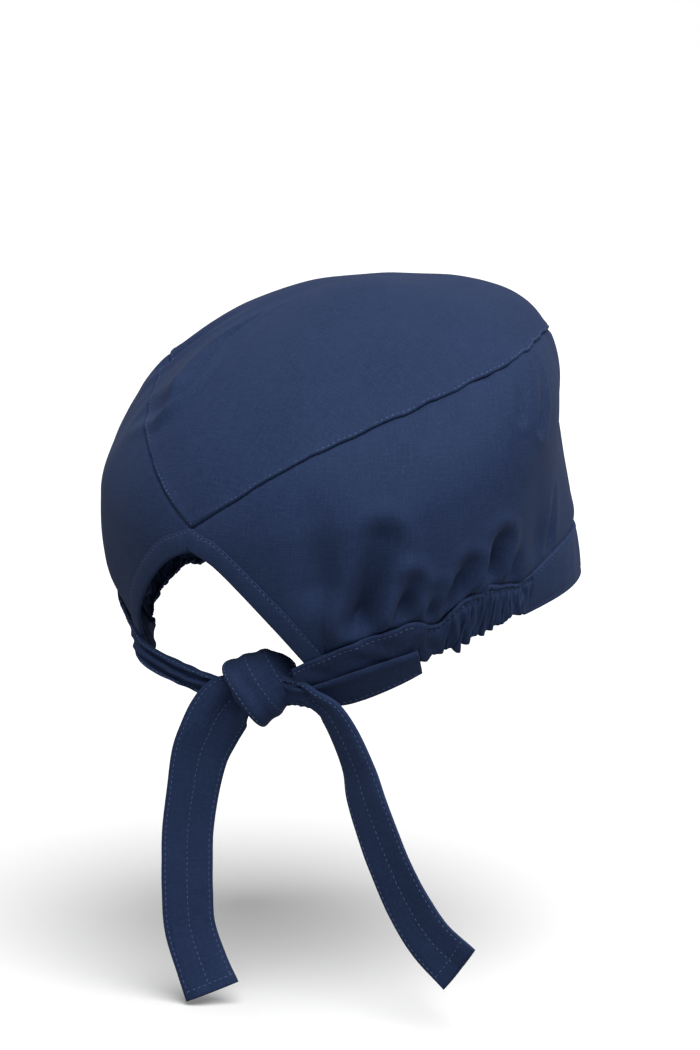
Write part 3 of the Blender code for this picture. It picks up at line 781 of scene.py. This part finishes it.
def side_gathers(angle, from_seam):
    """Gathers below the crown's seam: short all round, and longer towards the front corners."""
    front = hump(np.abs(angle), 90.0, 22.0)
    short = pucker(angle, 11) * 0.00024 * hump(from_seam, 0.004, 0.0045)
    long = wander(angle, 3.4, 21) * 0.0006 * front * hump(from_seam, 0.008, 0.020)
    groove = -0.0007 * hump(from_seam, 0.0, 0.0012)
    return groove + short + long


def elastic_gathers(angle, from_band):
    """Cloth drawn together above the casings, fading up the wall."""
    middle = 0.5 * (TIE_END + CASING_END)
    drawn = np.exp(-((np.abs(angle) - middle) / 22.0) ** 4)
    fine = wander(angle, 2.6, 31) * 0.0007 * hump(from_band, 0.0, 0.006)
    broad = wander(angle, 7.0, 33) * 0.0009 * hump(from_band, 0.008, 0.016)
    return (fine + broad) * drawn


def side_low(angle):
    """Drop at which the side cloth goes under the hems, ties, casings and band."""
    return np.minimum(facing_drop(angle), hem_drop(angle))


def side_point(angle, drop):
    """Points of the side cloth with the gathers at its seam and above the casings."""
    lift = side_gathers(angle, drop - seam_drop(angle)) + elastic_gathers(angle, hem_drop(angle) - drop)
    return wall(angle, drop, lift)


def side_cloth():
    """The wall round the head: its top goes under the crown's lap and its foot under the hems."""
    fine = np.linspace(0.3, KEYHOLE_CORNER, 400)
    start = fine[np.argmax(side_low(fine) - seam_drop(fine) > -0.0004)]
    half = SIDE_COLUMNS // 2
    steps = (np.arange(half + 1) / half) ** 1.15
    right = start + (180.0 - start) * steps
    angle = np.concatenate([-right, right[::-1][1:]])[::-1][None, :]
    seam = seam_drop(angle)
    foot = np.where(facing_drop(angle) < hem_drop(angle), FOOT_UNDER_HEM, FOOT_UNDER_BAND)
    low = side_low(angle) + foot
    squeeze = np.minimum((low - seam) / 0.012, 1.0)
    upper = seam + SIDE_TOP_ROWS[:, None] * squeeze
    shares = np.linspace(0.0, 1.0, 60)[1:, None]
    lower = upper[-1:] + (low - upper[-1:]) * shares
    drops = np.concatenate([upper, lower])
    angle = np.repeat(angle, len(drops), axis=0)
    points = side_point(angle, drops)
    tuck_in = np.zeros_like(drops)
    tuck_in[:3] = np.array([0.0012, 0.0010, 0.0006])[:, None]
    tuck_in += 0.0015 * clamp((drops - hem_drop(angle) + 0.0004) / 0.002)
    points -= wall_normal(angle, drops) * tuck_in[..., None]
    slack = soft_unevenness(points) * clamp((drops - seam) / 0.02) * clamp((low - drops) / 0.02)
    points += wall_normal(angle, drops) * slack[..., None]
    uv = np.stack([np.radians(angle) * SIDE_ROLL, -drops], axis=-1)
    piece = grid_piece("side_cloth", points, uv, PANEL_CLOTH, CLOTH_WALL)
    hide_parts("side_panel")


HEM_SHARES = np.array([0.0, 0.02, 0.05, 0.09, 0.14, 0.20, 0.30, 0.42, 0.54, 0.66, 0.76, 0.83, 0.88,
                       0.92, 0.96, 1.0])
HEM_STITCH_ROW = 12


def keyhole_hem(name, node, side):
    """The turned hem along one edge of the keyhole, with its row of topstitch."""
    last = KEYHOLE_CORNER
    while min(keyhole_drop(last), band_drop(last)) - facing_drop(last) > 0.0012 and last < TIE_END:
        last += 0.25
    angles = np.linspace(-0.5, last, 120)
    low = np.minimum(keyhole_drop(angles), band_drop(angles) + 0.001)
    high = np.maximum(facing_drop(angles), seam_drop(angles) - SEAM_LAP)
    share = HEM_SHARES[:, None] * np.ones_like(angles)[None, :]
    angle = np.repeat(angles[None, :], len(HEM_SHARES), axis=0)
    drops = low + (high - low) * share
    roll = -0.0010 * hump(share, 0.0, 0.03)
    valley = -0.00022 * hump(share, 0.89, 0.035)
    outer = -0.0003 * hump(share, 1.0, 0.03)
    puff = 0.00022 * np.sin(clamp(share / 0.89) * math.pi) + 0.00070
    puff = puff + 0.00014 * pucker(angle, 41 + side) * hump(share, 0.85, 0.25)
    under_crown = 0.0014 * clamp((seam_drop(angle) + 0.0008 - drops) / 0.0010)
    points = wall(side * angle, drops, roll + valley + outer + puff - under_crown)
    uv = np.stack([np.radians(angle) * HEM_ROLL, -drops], axis=-1)
    piece = grid_piece(name, points, uv, BAND_CLOTH, HEM_WALL)
    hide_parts(node)
    stitch = points[HEM_STITCH_ROW]
    outs = wall_normal(side * angles, low + (high - low) * HEM_SHARES[HEM_STITCH_ROW])
    stitch_rows(name + "_stitches", [(stitch[4:-2], outs[4:-2])])


# Band, casings and ties

def band_points(angle, share, lift):
    """Points on the band: share 0 is its lower edge and 1 its top edge."""
    return wall(angle, band_place(angle, share), lift)


def band_place(angle, share):
    """Drop of a place on the band."""
    return rim_drop(angle) + (hem_drop(angle) - rim_drop(angle)) * share


BAND_SHARES = np.array([-0.02, 0.0, 0.015, 0.04, 0.07, 0.10, 0.14, 0.20, 0.28, 0.38, 0.50, 0.62, 0.72,
                        0.80, 0.86, 0.91, 0.95, 0.985, 1.0, 1.02])


def band_lift(angle, share):
    """Cross section of the folded band: rounded edges, drawn in at its two stitch rows."""
    edges = -0.0014 * (hump(share, -0.02, 0.025) + hump(share, 1.02, 0.025))
    rows = -0.0004 * (hump(share, BAND_ROWS[0], 0.03) + hump(share, BAND_ROWS[1], 0.03))
    middle = np.sin(clamp(share) * math.pi)
    return 0.0014 + (0.0003 + 0.00030 * wander(angle, 5.0, 51)) * middle + edges + rows


def brow_binding():
    """The folded band across the forehead, with its two rows of topstitch."""
    angles = np.linspace(CASING_END - 0.6, 360.0 - CASING_END + 0.6, 260)
    angle, share = np.meshgrid(angles, BAND_SHARES)
    points = band_points(angle, share, band_lift(angle, share))
    uv = np.stack([np.radians(angle) * BROW_ROLL, share * BAND_HEIGHT], axis=-1)
    piece = grid_piece("brow_binding", points, uv, BAND_CLOTH, BAND_WALL)
    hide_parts("brow_band")
    lines = []
    for row in BAND_ROWS:
        places = band_points(angles, row, band_lift(angles, np.full_like(angles, row)))
        lines.append((places, wall_normal(angles, band_place(angles, row))))
    stitch_rows("brow_topstitch", lines)


CASING_COLUMNS = 420
CASING_UNDER_TIE = 3.5     # degrees that a casing runs on under the tie, and under the band
CASING_UNDER_BAND = 0.8
CASING_SHARES = np.array([-0.03, 0.0, 0.02, 0.05, 0.09, 0.14, 0.20, 0.27, 0.34, 0.42, 0.50, 0.58, 0.66,
                          0.74, 0.80, 0.85, 0.89, 0.93, 0.97, 1.0])
CASING_STITCH_ROW = 15


def ruffle_turns(angle):
    """Whole numbers in the valleys between the casing's folds, and halves on their crests."""
    crests = [row[0] for row in RUFFLES]
    return np.interp(angle, crests, np.arange(len(crests)) + 0.5)


def ruffle_crest(turns):
    """Broad crests with narrow valleys between them, from 0 to 1."""
    return np.abs(np.sin(math.pi * turns)) ** 0.60


def casing_lift(along, angles, share, turns, strength, side):
    """How far a gathered casing stands off the wall: crests, small creases and uneven patches."""
    crest = ruffle_crest(turns)
    fade = (1.0 - share) ** 0.6
    small = 0.30 * np.sin(2 * math.pi * (turns * 1.7 + share * 1.3)) * (1.0 - 0.5 * crest)
    patch = wander(along[None, :] + share * 0.11, 0.045, 69 + side)
    level = 0.55 + 0.45 * clamp(1.0 - 1.3 * share)
    lift = 0.0012 + strength * (crest * level + small + 0.35 * patch) * (0.0005 + 0.0024 * fade)
    lift = lift * (1.0 - 0.60 * hump(share, 0.86, 0.06))
    lift = lift - 0.0016 * hump(share, -0.03, 0.03) - 0.0012 * hump(share, 1.0, 0.02)
    return lift - 0.0022 * clamp((TIE_END + 0.5 - angles) / 3.0)[None, :]


def ruffled_casing(name, node, side):
    """A gathered casing, drawn up by the elastic inside it."""
    along = np.linspace(0.0, 1.0, CASING_COLUMNS)
    start = TIE_END - CASING_UNDER_TIE
    angles = start + (CASING_END + CASING_UNDER_BAND - start) * along
    share = np.repeat(CASING_SHARES[:, None], CASING_COLUMNS, axis=1)
    lean = 0.75 * wander(along, 0.13, 67 + side)
    bend = 0.55 * wander(along, 0.07, 68 + side)
    turns = ruffle_turns(angles)[None, :] + lean[None, :] * share + bend[None, :] * np.sin(math.pi * share)
    ends = clamp(np.minimum(along + 0.03, 1.0 - along) / 0.06)
    strength = (table_at(RUFFLES, angles) * ends)[None, :]
    low = rim_drop(angles) - BAND_HEIGHT * table_at(CASING_RAISED, angles)
    high = hem_drop(angles)[None, :]
    scallop = strength * (ruffle_crest(turns) - 0.35) * 0.0021 * (1.0 - share) ** 2
    drops = low[None, :] + (high - low[None, :]) * share + scallop
    skew = -0.24 * np.sin(2 * math.pi * turns) * strength * (1.0 - share)
    lift = casing_lift(along, angles, share, turns, strength, side)
    points = wall(side * (angles[None, :] + skew), drops, lift)
    run = np.repeat(along[None, :], len(CASING_SHARES), axis=0) * CASING_RUN
    uv = np.stack([run, share * BAND_HEIGHT], axis=-1)
    piece = grid_piece(name, points, uv, BAND_CLOTH, CASING_WALL)
    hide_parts(node)
    stitch = points[CASING_STITCH_ROW]
    outs = wall_normal(side * angles, hem_drop(angles))
    stitch_rows(name + "_stitches", [(stitch[4:-4], outs[4:-4])])


# Rows of points along a tie, sewn and free, and along the free part of its outer layer
TIE_BASE_ROWS = 60
TIE_FREE_ROWS = 55
OVERLAP_FREE_ROWS = 42


def knot_axes():
    """The knot's centre and its directions: along it, across it, and out of its face."""
    level = math.cos(KNOT_TILT)
    along = np.array([-level * math.cos(KNOT_TURN), -level * math.sin(KNOT_TURN), math.sin(KNOT_TILT)])
    out = np.array([-math.sin(KNOT_TURN), math.cos(KNOT_TURN), 0.0])
    return np.array(KNOT_CENTRE), along, np.cross(out, along), out


def hermite(a, b, way_a, way_b, t):
    """A smooth curve from a to b that leaves and arrives by the given ways."""
    return (a * (2 * t**3 - 3 * t**2 + 1) + way_a * (t**3 - 2 * t**2 + t)
            + b * (3 * t**2 - 2 * t**3) + way_b * (t**3 - t**2))


def tie_route(side, lead, start=TIE_END, low=None, high=None, lift=0.0010):
    """Centres, directions of width and half widths of a tie, from its sewn end into the knot.

    Low and high are tables of angles and shares of BAND_HEIGHT for a layer's two edges.
    """
    along_base = np.linspace(0.0, 1.0, TIE_BASE_ROWS + 1)
    angle = start + (KEYHOLE_CORNER - start) * along_base
    rim = rim_drop(angle)
    top_drop = hem_drop(angle) if high is None else rim - BAND_HEIGHT * smooth_between(*high, angle)
    foot_drop = rim if low is None else rim - BAND_HEIGHT * smooth_between(*low, angle)
    top = wall(side * angle, top_drop)
    fall = wall(side * angle, foot_drop) - top
    late = np.maximum((along_base - 0.4) / 0.6, 0.0)
    bunch = lead["bunch"] * late * late * (3.0 - 2.0 * late)
    out = wall_normal(side * angle, rim)
    fall = fall * (1.0 - bunch)[:, None] + out * (lead["flare"] * TIE_WIDTH * bunch)[:, None]
    centres = top + fall * 0.5 + out * lift
    ways = -unit(fall)
    halves = np.linalg.norm(fall, axis=1) * 0.5
    centre, along, across = knot_axes()[:3]
    corner, corner_up, corner_half = centres[-1], ways[-1], halves[-1]
    leave = unit(corner - centres[-8])
    knot_up = -across if across[2] < 0 else across
    stretch = np.linalg.norm(centre - corner)
    t = (np.arange(1, TIE_FREE_ROWS + 1) / TIE_FREE_ROWS)[:, None]
    free = hermite(corner, centre, leave * stretch * lead["leave"], -side * along * stretch * 0.6, t)
    ease = t * t * (3.0 - 2.0 * t)
    free_ways = unit(corner_up * (1.0 - ease) + knot_up * ease)
    half = corner_half + (lead["end"] * TIE_WIDTH - corner_half) * ease[:, 0]
    half = half + (lead["middle"] * TIE_WIDTH - half) * np.sin(math.pi * t[:, 0])
    return (np.concatenate([centres, free]), np.concatenate([ways, free_ways]),
            np.concatenate([halves, half]))


def strap_stitches(top, under, out, shares, trim=(3, 3)):
    """Rows of stitches along both faces of a strap, at shares of its half width."""
    columns = np.sin(np.linspace(-0.5, 0.5, top.shape[1]) * math.pi)
    lines = []
    for face, way in ((top, out), (under, -out)):
        for share in shares:
            i = np.clip(np.searchsorted(columns, share) - 1, 0, len(columns) - 2)
            t = (share - columns[i]) / (columns[i + 1] - columns[i])
            places = face[:, i] * (1.0 - t) + face[:, i + 1] * t
            lines.append((places[trim[0]:len(places) - trim[1]], way[trim[0]:len(places) - trim[1]]))
    return lines


def tie_strap(name, node, side, lead):
    """A tie: its base sewn over the edge of the cap, and its bunched stretch into the knot."""
    centres, ways, halves = tie_route(side, lead)
    count = len(centres)
    along = np.linspace(0.0, 1.0, count)
    free = clamp((along - 0.50) / 0.12) * np.clip((1.0 - along) / 0.1, 0.2, 1.0)
    crease = wander(along, 0.18, 71 + side)
    fine = wander(along, 0.06, 73 + side)

    def waves(share):
        pleat = np.cos(2.2 * math.pi * (share[None, :] + 0.25 * crease[:, None]))
        small = np.sin(4.0 * math.pi * share[None, :] + 5.0 * fine[:, None])
        deep = 0.0014 if side < 0 else 0.0016
        wobble = 0.00035 * np.sin(math.pi * (share[None, :] * 2.0 + 3.0 * crease[:, None]))
        return free[:, None] * (deep * pleat + 0.0004 * small) + (1.0 - free[:, None]) * wobble

    piece, top, under, out = ribbon_piece(name, centres, ways, halves, TIE_CLOTH, waves=waves)
    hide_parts(node)
    lines = strap_stitches(top, under, out, (STRAP_ROWS[0], STRAP_ROWS[2]), (3, 12))
    stitch_rows(name + "_stitches", lines)


def overlap_strap(name, side, lead):
    """The tie's outer layer, sewn over the lower part of its base and gathered into the knot."""
    low = ((33.0, 38.0, 43.5, 51.0, 59.0, 66.0), (0.24, 0.09, -0.05, -0.12, -0.12, -0.07))
    high = ((33.0, 44.0, 50.0, 57.0, 66.0), (0.62, 0.60, 0.58, 0.55, 0.50))
    centres, ways, halves = tie_route(side, lead, TIE_END + 1.4, low, high, 0.0029)
    keep = TIE_BASE_ROWS + 1 + OVERLAP_FREE_ROWS
    centres, ways, halves = centres[:keep], ways[:keep], halves[:keep]
    along = np.linspace(0.0, 1.0, keep)
    face = ribbon_frame(centres, ways)[2]
    outward = np.sign(np.sum(face[:60] * np.array([-side, 0.0, 0.0]), axis=1).mean())
    crease = wander(along, 0.16, 87)
    fine = wander(along, 0.05, 88)
    late = clamp(along * 1.6 - 0.2)

    def waves(share):
        fold = 0.0003 * hump(share[None, :], 0.80, 0.20)
        pull = 0.00040 * crease[:, None] * np.sin(2.0 * math.pi * (share[None, :] + 0.3 * fine[:, None]))
        sag = -0.0007 * hump(share[None, :], 0.30, 0.30)
        return outward * (fold + (sag + pull) * late[:, None])

    piece, top, under, out = ribbon_piece(name, centres, ways, halves, TIE_CLOTH, waves=waves,
                                          wall_size=OVERLAP_WALL, rows=OVERLAP_ROWS)
    lines = strap_stitches(top, under, out, OVERLAP_ROWS[:1], (2, 6))
    stitch_rows(name + "_stitches", [lines[0 if outward > 0 else 1]])


def tail_route(route, rows=130):
    """Centres, directions of width and half widths along a tail."""
    table = np.array(route)
    places = np.linspace(0.0, 1.0, len(route))
    t = np.linspace(0.0, 1.0, rows)
    down, left, behind, turn, wide = (smooth_between(places, table[:, i], t) for i in range(5))
    centres = np.array(KNOT_CENTRE) + TAIL_LENGTH * np.stack([left, behind, -down], axis=1)
    turn = np.radians(turn)
    ways = np.stack([np.cos(turn), np.sin(turn), np.zeros_like(turn)], axis=1)
    return centres, ways, 0.5 * TIE_WIDTH * wide


def tail_strap(name, node, route, seed):
    """A free tail below the knot, with three rows of topstitch and a square hem."""
    centres, ways, halves = tail_route(route)
    along = np.linspace(0.0, 1.0, len(centres))
    near = hump(along, 0.0, 0.22)
    curl = wander(along, 0.35, seed)
    fine = wander(along, 0.09, seed + 1)

    def waves(share):
        cup = 0.0007 * curl[:, None] * (1.0 - 2.0 * share[None, :] ** 2)
        pleat = 0.0017 * near[:, None] * np.cos(1.7 * math.pi * (share[None, :] + 0.2))
        ripple = 0.00022 * fine[:, None] * np.sin(math.pi * share[None, :])
        return cup + pleat + ripple

    piece, top, under, out = ribbon_piece(name, centres, ways, halves, TIE_CLOTH, waves=waves)
    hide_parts(node)
    lines = strap_stitches(top, under, out, STRAP_ROWS, (8, 2))
    hem = len(centres) - 5
    columns = slice(2, top.shape[1] - 2)
    for face, way in ((top, out), (under, -out)):
        lines.append((face[hem, columns], np.repeat(way[hem][None, :], top.shape[1] - 4, axis=0)))
    stitch_rows(name + "_stitches", lines)


def knot_wrap():
    """The strap wound round the crossing ties, flared at its left mouth and tight at its right."""
    centre, along, across, out = knot_axes()
    centre = centre + along * WRAP_SHIFT + np.array([0.0, 0.0, WRAP_RISE])
    count = 300
    t = np.linspace(0.0, 1.0, count)
    turn = np.radians(WRAP_START + WRAP_SWEEP * t)
    grow = 0.82 + 0.18 * clamp(1.6 * t - 0.5)
    half_wide = WRAP_HALF_WIDE * grow
    half_deep = WRAP_HALF_DEEP * grow
    round_x = np.sign(np.cos(turn)) * np.abs(np.cos(turn)) ** WRAP_SQUARE
    round_y = np.sign(np.sin(turn)) * np.abs(np.sin(turn)) ** WRAP_SQUARE
    slide = 0.0012 * np.sin(turn - 0.6) + 0.0030 * np.clip(0.6 - t, 0.0, 0.6)
    place = (centre + across * (half_wide * round_x)[:, None] + out * (half_deep * round_y)[:, None]
             + along * slide[:, None])
    ways = np.repeat(along[None, :], count, axis=0) + across * (0.16 * np.sin(turn))[:, None]
    halves = np.full(count, 0.5 * TIE_WIDTH) * (1.05 + 0.03 * np.cos(turn))
    crease = wander(t, 0.2, 81)
    fine = wander(t, 0.07, 82)

    def waves(share):
        flare = -0.0024 * share[None, :] - 0.0006 * share[None, :] ** 2
        flare = flare - 0.0110 * np.maximum(share[None, :] - 0.45, 0.0) ** 2
        pleat = 0.0004 * np.cos(2.6 * math.pi * (share[None, :] + 0.3 * crease[:, None]))
        small = 0.0003 * fine[:, None] * share[None, :]
        return (flare + pleat + small) * outward

    way = ribbon_frame(place, ways)[2]
    outward = 1.0 if np.mean(np.sum(way * (place - centre), axis=1)) > 0 else -1.0
    piece, top, under, face = ribbon_piece("knot_wrap", place, ways, halves, TIE_CLOTH,
                                           waves=waves, wall_size=WRAP_WALL)
    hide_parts("knot")
    lines = strap_stitches(top, under, face, WRAP_ROWS)
    keep = lines[:3] if outward > 0 else lines[3:]
    stitch_rows("knot_stitches", keep)
    knot_core(centre, along, across, out)


def knot_core(centre, along, across, out):
    """The folded cloth inside the wrap, which shows at its two mouths."""
    rings = []
    count = 64
    shares = np.concatenate([[-0.52, -0.50, -0.46], np.linspace(-0.40, 0.40, 24), [0.46, 0.50, 0.52]])
    turn = np.linspace(0.0, 2 * math.pi, count, endpoint=False)
    for share in shares:
        round_off = 1.0 - 0.55 * clamp((abs(share) - 0.36) / 0.16) ** 2
        pleats = 1.0 + 0.07 * np.cos(5 * turn + 3.0 * share) + 0.04 * np.sin(9 * turn - 6.0 * share)
        taper = 1.0 - 0.55 * share
        wide = CORE_HALF_WIDE * taper * round_off * pleats
        deep = CORE_HALF_DEEP * taper * round_off * pleats
        rings.append(centre + along * (share * KNOT_LENGTH) + across * (wide * np.cos(turn))[:, None]
                     + out * (deep * np.sin(turn))[:, None])
    points = np.array(rings)
    uv = np.stack(np.meshgrid(turn * 0.012, shares * KNOT_LENGTH), axis=-1)
    faces = grid_faces(len(shares), count, True)
    faces.append(tuple(reversed(range(count))))
    faces.append(tuple(range((len(shares) - 1) * count, len(shares) * count)))
    piece = cloth_piece("knot_core", points.reshape(-1, 3), faces, uv.reshape(-1, 2), TIE_CLOTH)


# Camera, light and floor

VIEW_TURN = math.radians(40.0)
VIEW_RISE = math.radians(8.9)
VIEW_DISTANCE = 1.25
VIEW_TARGET = Vector((0.0, AXIS_BEHIND, -0.0858))
LENS = 105.04
SENSOR = 36.0
SHIFT = (20.0 / 1050.0, -29.0 / 1050.0)
FLOOR_SIZE = 60.0
FLOOR_GAP = 0.002          # from the tails' ends down to the floor
SKY_LIGHT = 0.37           # the backdrop's light on the cap, where the camera sees it at 1
KEY_WAY = (-0.50, 0.20, 1.0)
KEY_STRENGTH = 3.15
KEY_SPREAD = 58.0


def camera():
    """A long lens at the photograph's angle, looking at the wearer's right and back."""
    back = Vector((-math.sin(VIEW_TURN) * math.cos(VIEW_RISE), math.cos(VIEW_TURN) * math.cos(VIEW_RISE),
                   math.sin(VIEW_RISE)))
    right = Vector((0, 0, 1)).cross(back).normalized()
    up = back.cross(right)
    data = bpy.data.cameras.new("camera")
    data.lens = LENS
    data.sensor_width = SENSOR
    data.shift_x, data.shift_y = SHIFT
    made = bpy.data.objects.new("camera", data)
    turned = Matrix((right, up, back)).transposed().to_4x4()
    made.matrix_world = Matrix.Translation(VIEW_TARGET + back * VIEW_DISTANCE) @ turned
    bpy.context.scene.collection.objects.link(made)
    bpy.context.scene.camera = made


def sun_light(name, way, strength, spread):
    """A broad, even light from one side, as from a large softbox."""
    data = bpy.data.lights.new(name, "SUN")
    data.energy = strength
    data.angle = math.radians(spread)
    made = bpy.data.objects.new(name, data)
    made.rotation_euler = Vector(way).to_track_quat("Z", "Y").to_euler()
    bpy.context.scene.collection.objects.link(made)


def floor_paint():
    """White paint that throws little light back up, as over a dark studio floor."""
    material = bpy.data.materials.new("floor_paint")
    material.use_nodes = True
    nodes, links = material.node_tree.nodes, material.node_tree.links
    shader = nodes["Principled BSDF"]
    seen = nodes.new("ShaderNodeLightPath")
    tone = nodes.new("ShaderNodeMix")
    tone.data_type = "RGBA"
    tone.inputs[6].default_value = FLOOR_BOUNCE
    tone.inputs[7].default_value = FLOOR_WHITE
    links.new(seen.outputs["Is Camera Ray"], tone.inputs[0])
    links.new(tone.outputs[2], shader.inputs["Base Color"])
    shader.inputs["Roughness"].default_value = 0.9
    shader.inputs["Specular IOR Level"].default_value = 0.0
    return material


def studio():
    """A plain pale floor and backdrop, even light from all round and one broad key light."""
    low = CAD_BOX[0][2] - FLOOR_GAP
    bpy.ops.object.select_all(action="DESELECT")
    bpy.ops.mesh.primitive_plane_add(size=FLOOR_SIZE, location=(0.0, 0.0, low))
    floor = bpy.context.object
    floor.name = "floor"
    floor.data.materials.append(floor_paint())
    world = bpy.data.worlds.new("studio")
    bpy.context.scene.world = world
    world.use_nodes = True
    nodes, links = world.node_tree.nodes, world.node_tree.links
    nodes["Background"].inputs["Color"].default_value = (1.0, 1.0, 1.0, 1.0)
    seen = nodes.new("ShaderNodeLightPath")
    level = nodes.new("ShaderNodeMapRange")
    level.inputs["To Min"].default_value = SKY_LIGHT
    level.inputs["To Max"].default_value = 1.0
    links.new(seen.outputs["Is Camera Ray"], level.inputs["Value"])
    links.new(level.outputs["Result"], nodes["Background"].inputs["Strength"])
    sun_light("key", KEY_WAY, KEY_STRENGTH, KEY_SPREAD)
    bpy.context.scene.view_settings.view_transform = "Standard"


camera()
studio()
side_cloth()
crown_panel()
keyhole_hem("keyhole_hem_right", "keyhole_facing_right", 1)
keyhole_hem("keyhole_hem_left", "keyhole_facing_left", -1)
brow_binding()
ruffled_casing("ruffled_casing_right", "elastic_casing_right", 1)
ruffled_casing("ruffled_casing_left", "elastic_casing_left", -1)
tie_strap("tie_strap_right", "tie_right", 1, LEAD_RIGHT)
tie_strap("tie_strap_left", "tie_left", -1, LEAD_LEFT)
overlap_strap("tie_overlap_right", 1, LEAD_OVERLAP)
tail_strap("tail_strap_left", "tie_tail_left", TAIL_LEFT, 91)
tail_strap("tail_strap_right", "tie_tail_right", TAIL_RIGHT, 95)
knot_wrap()
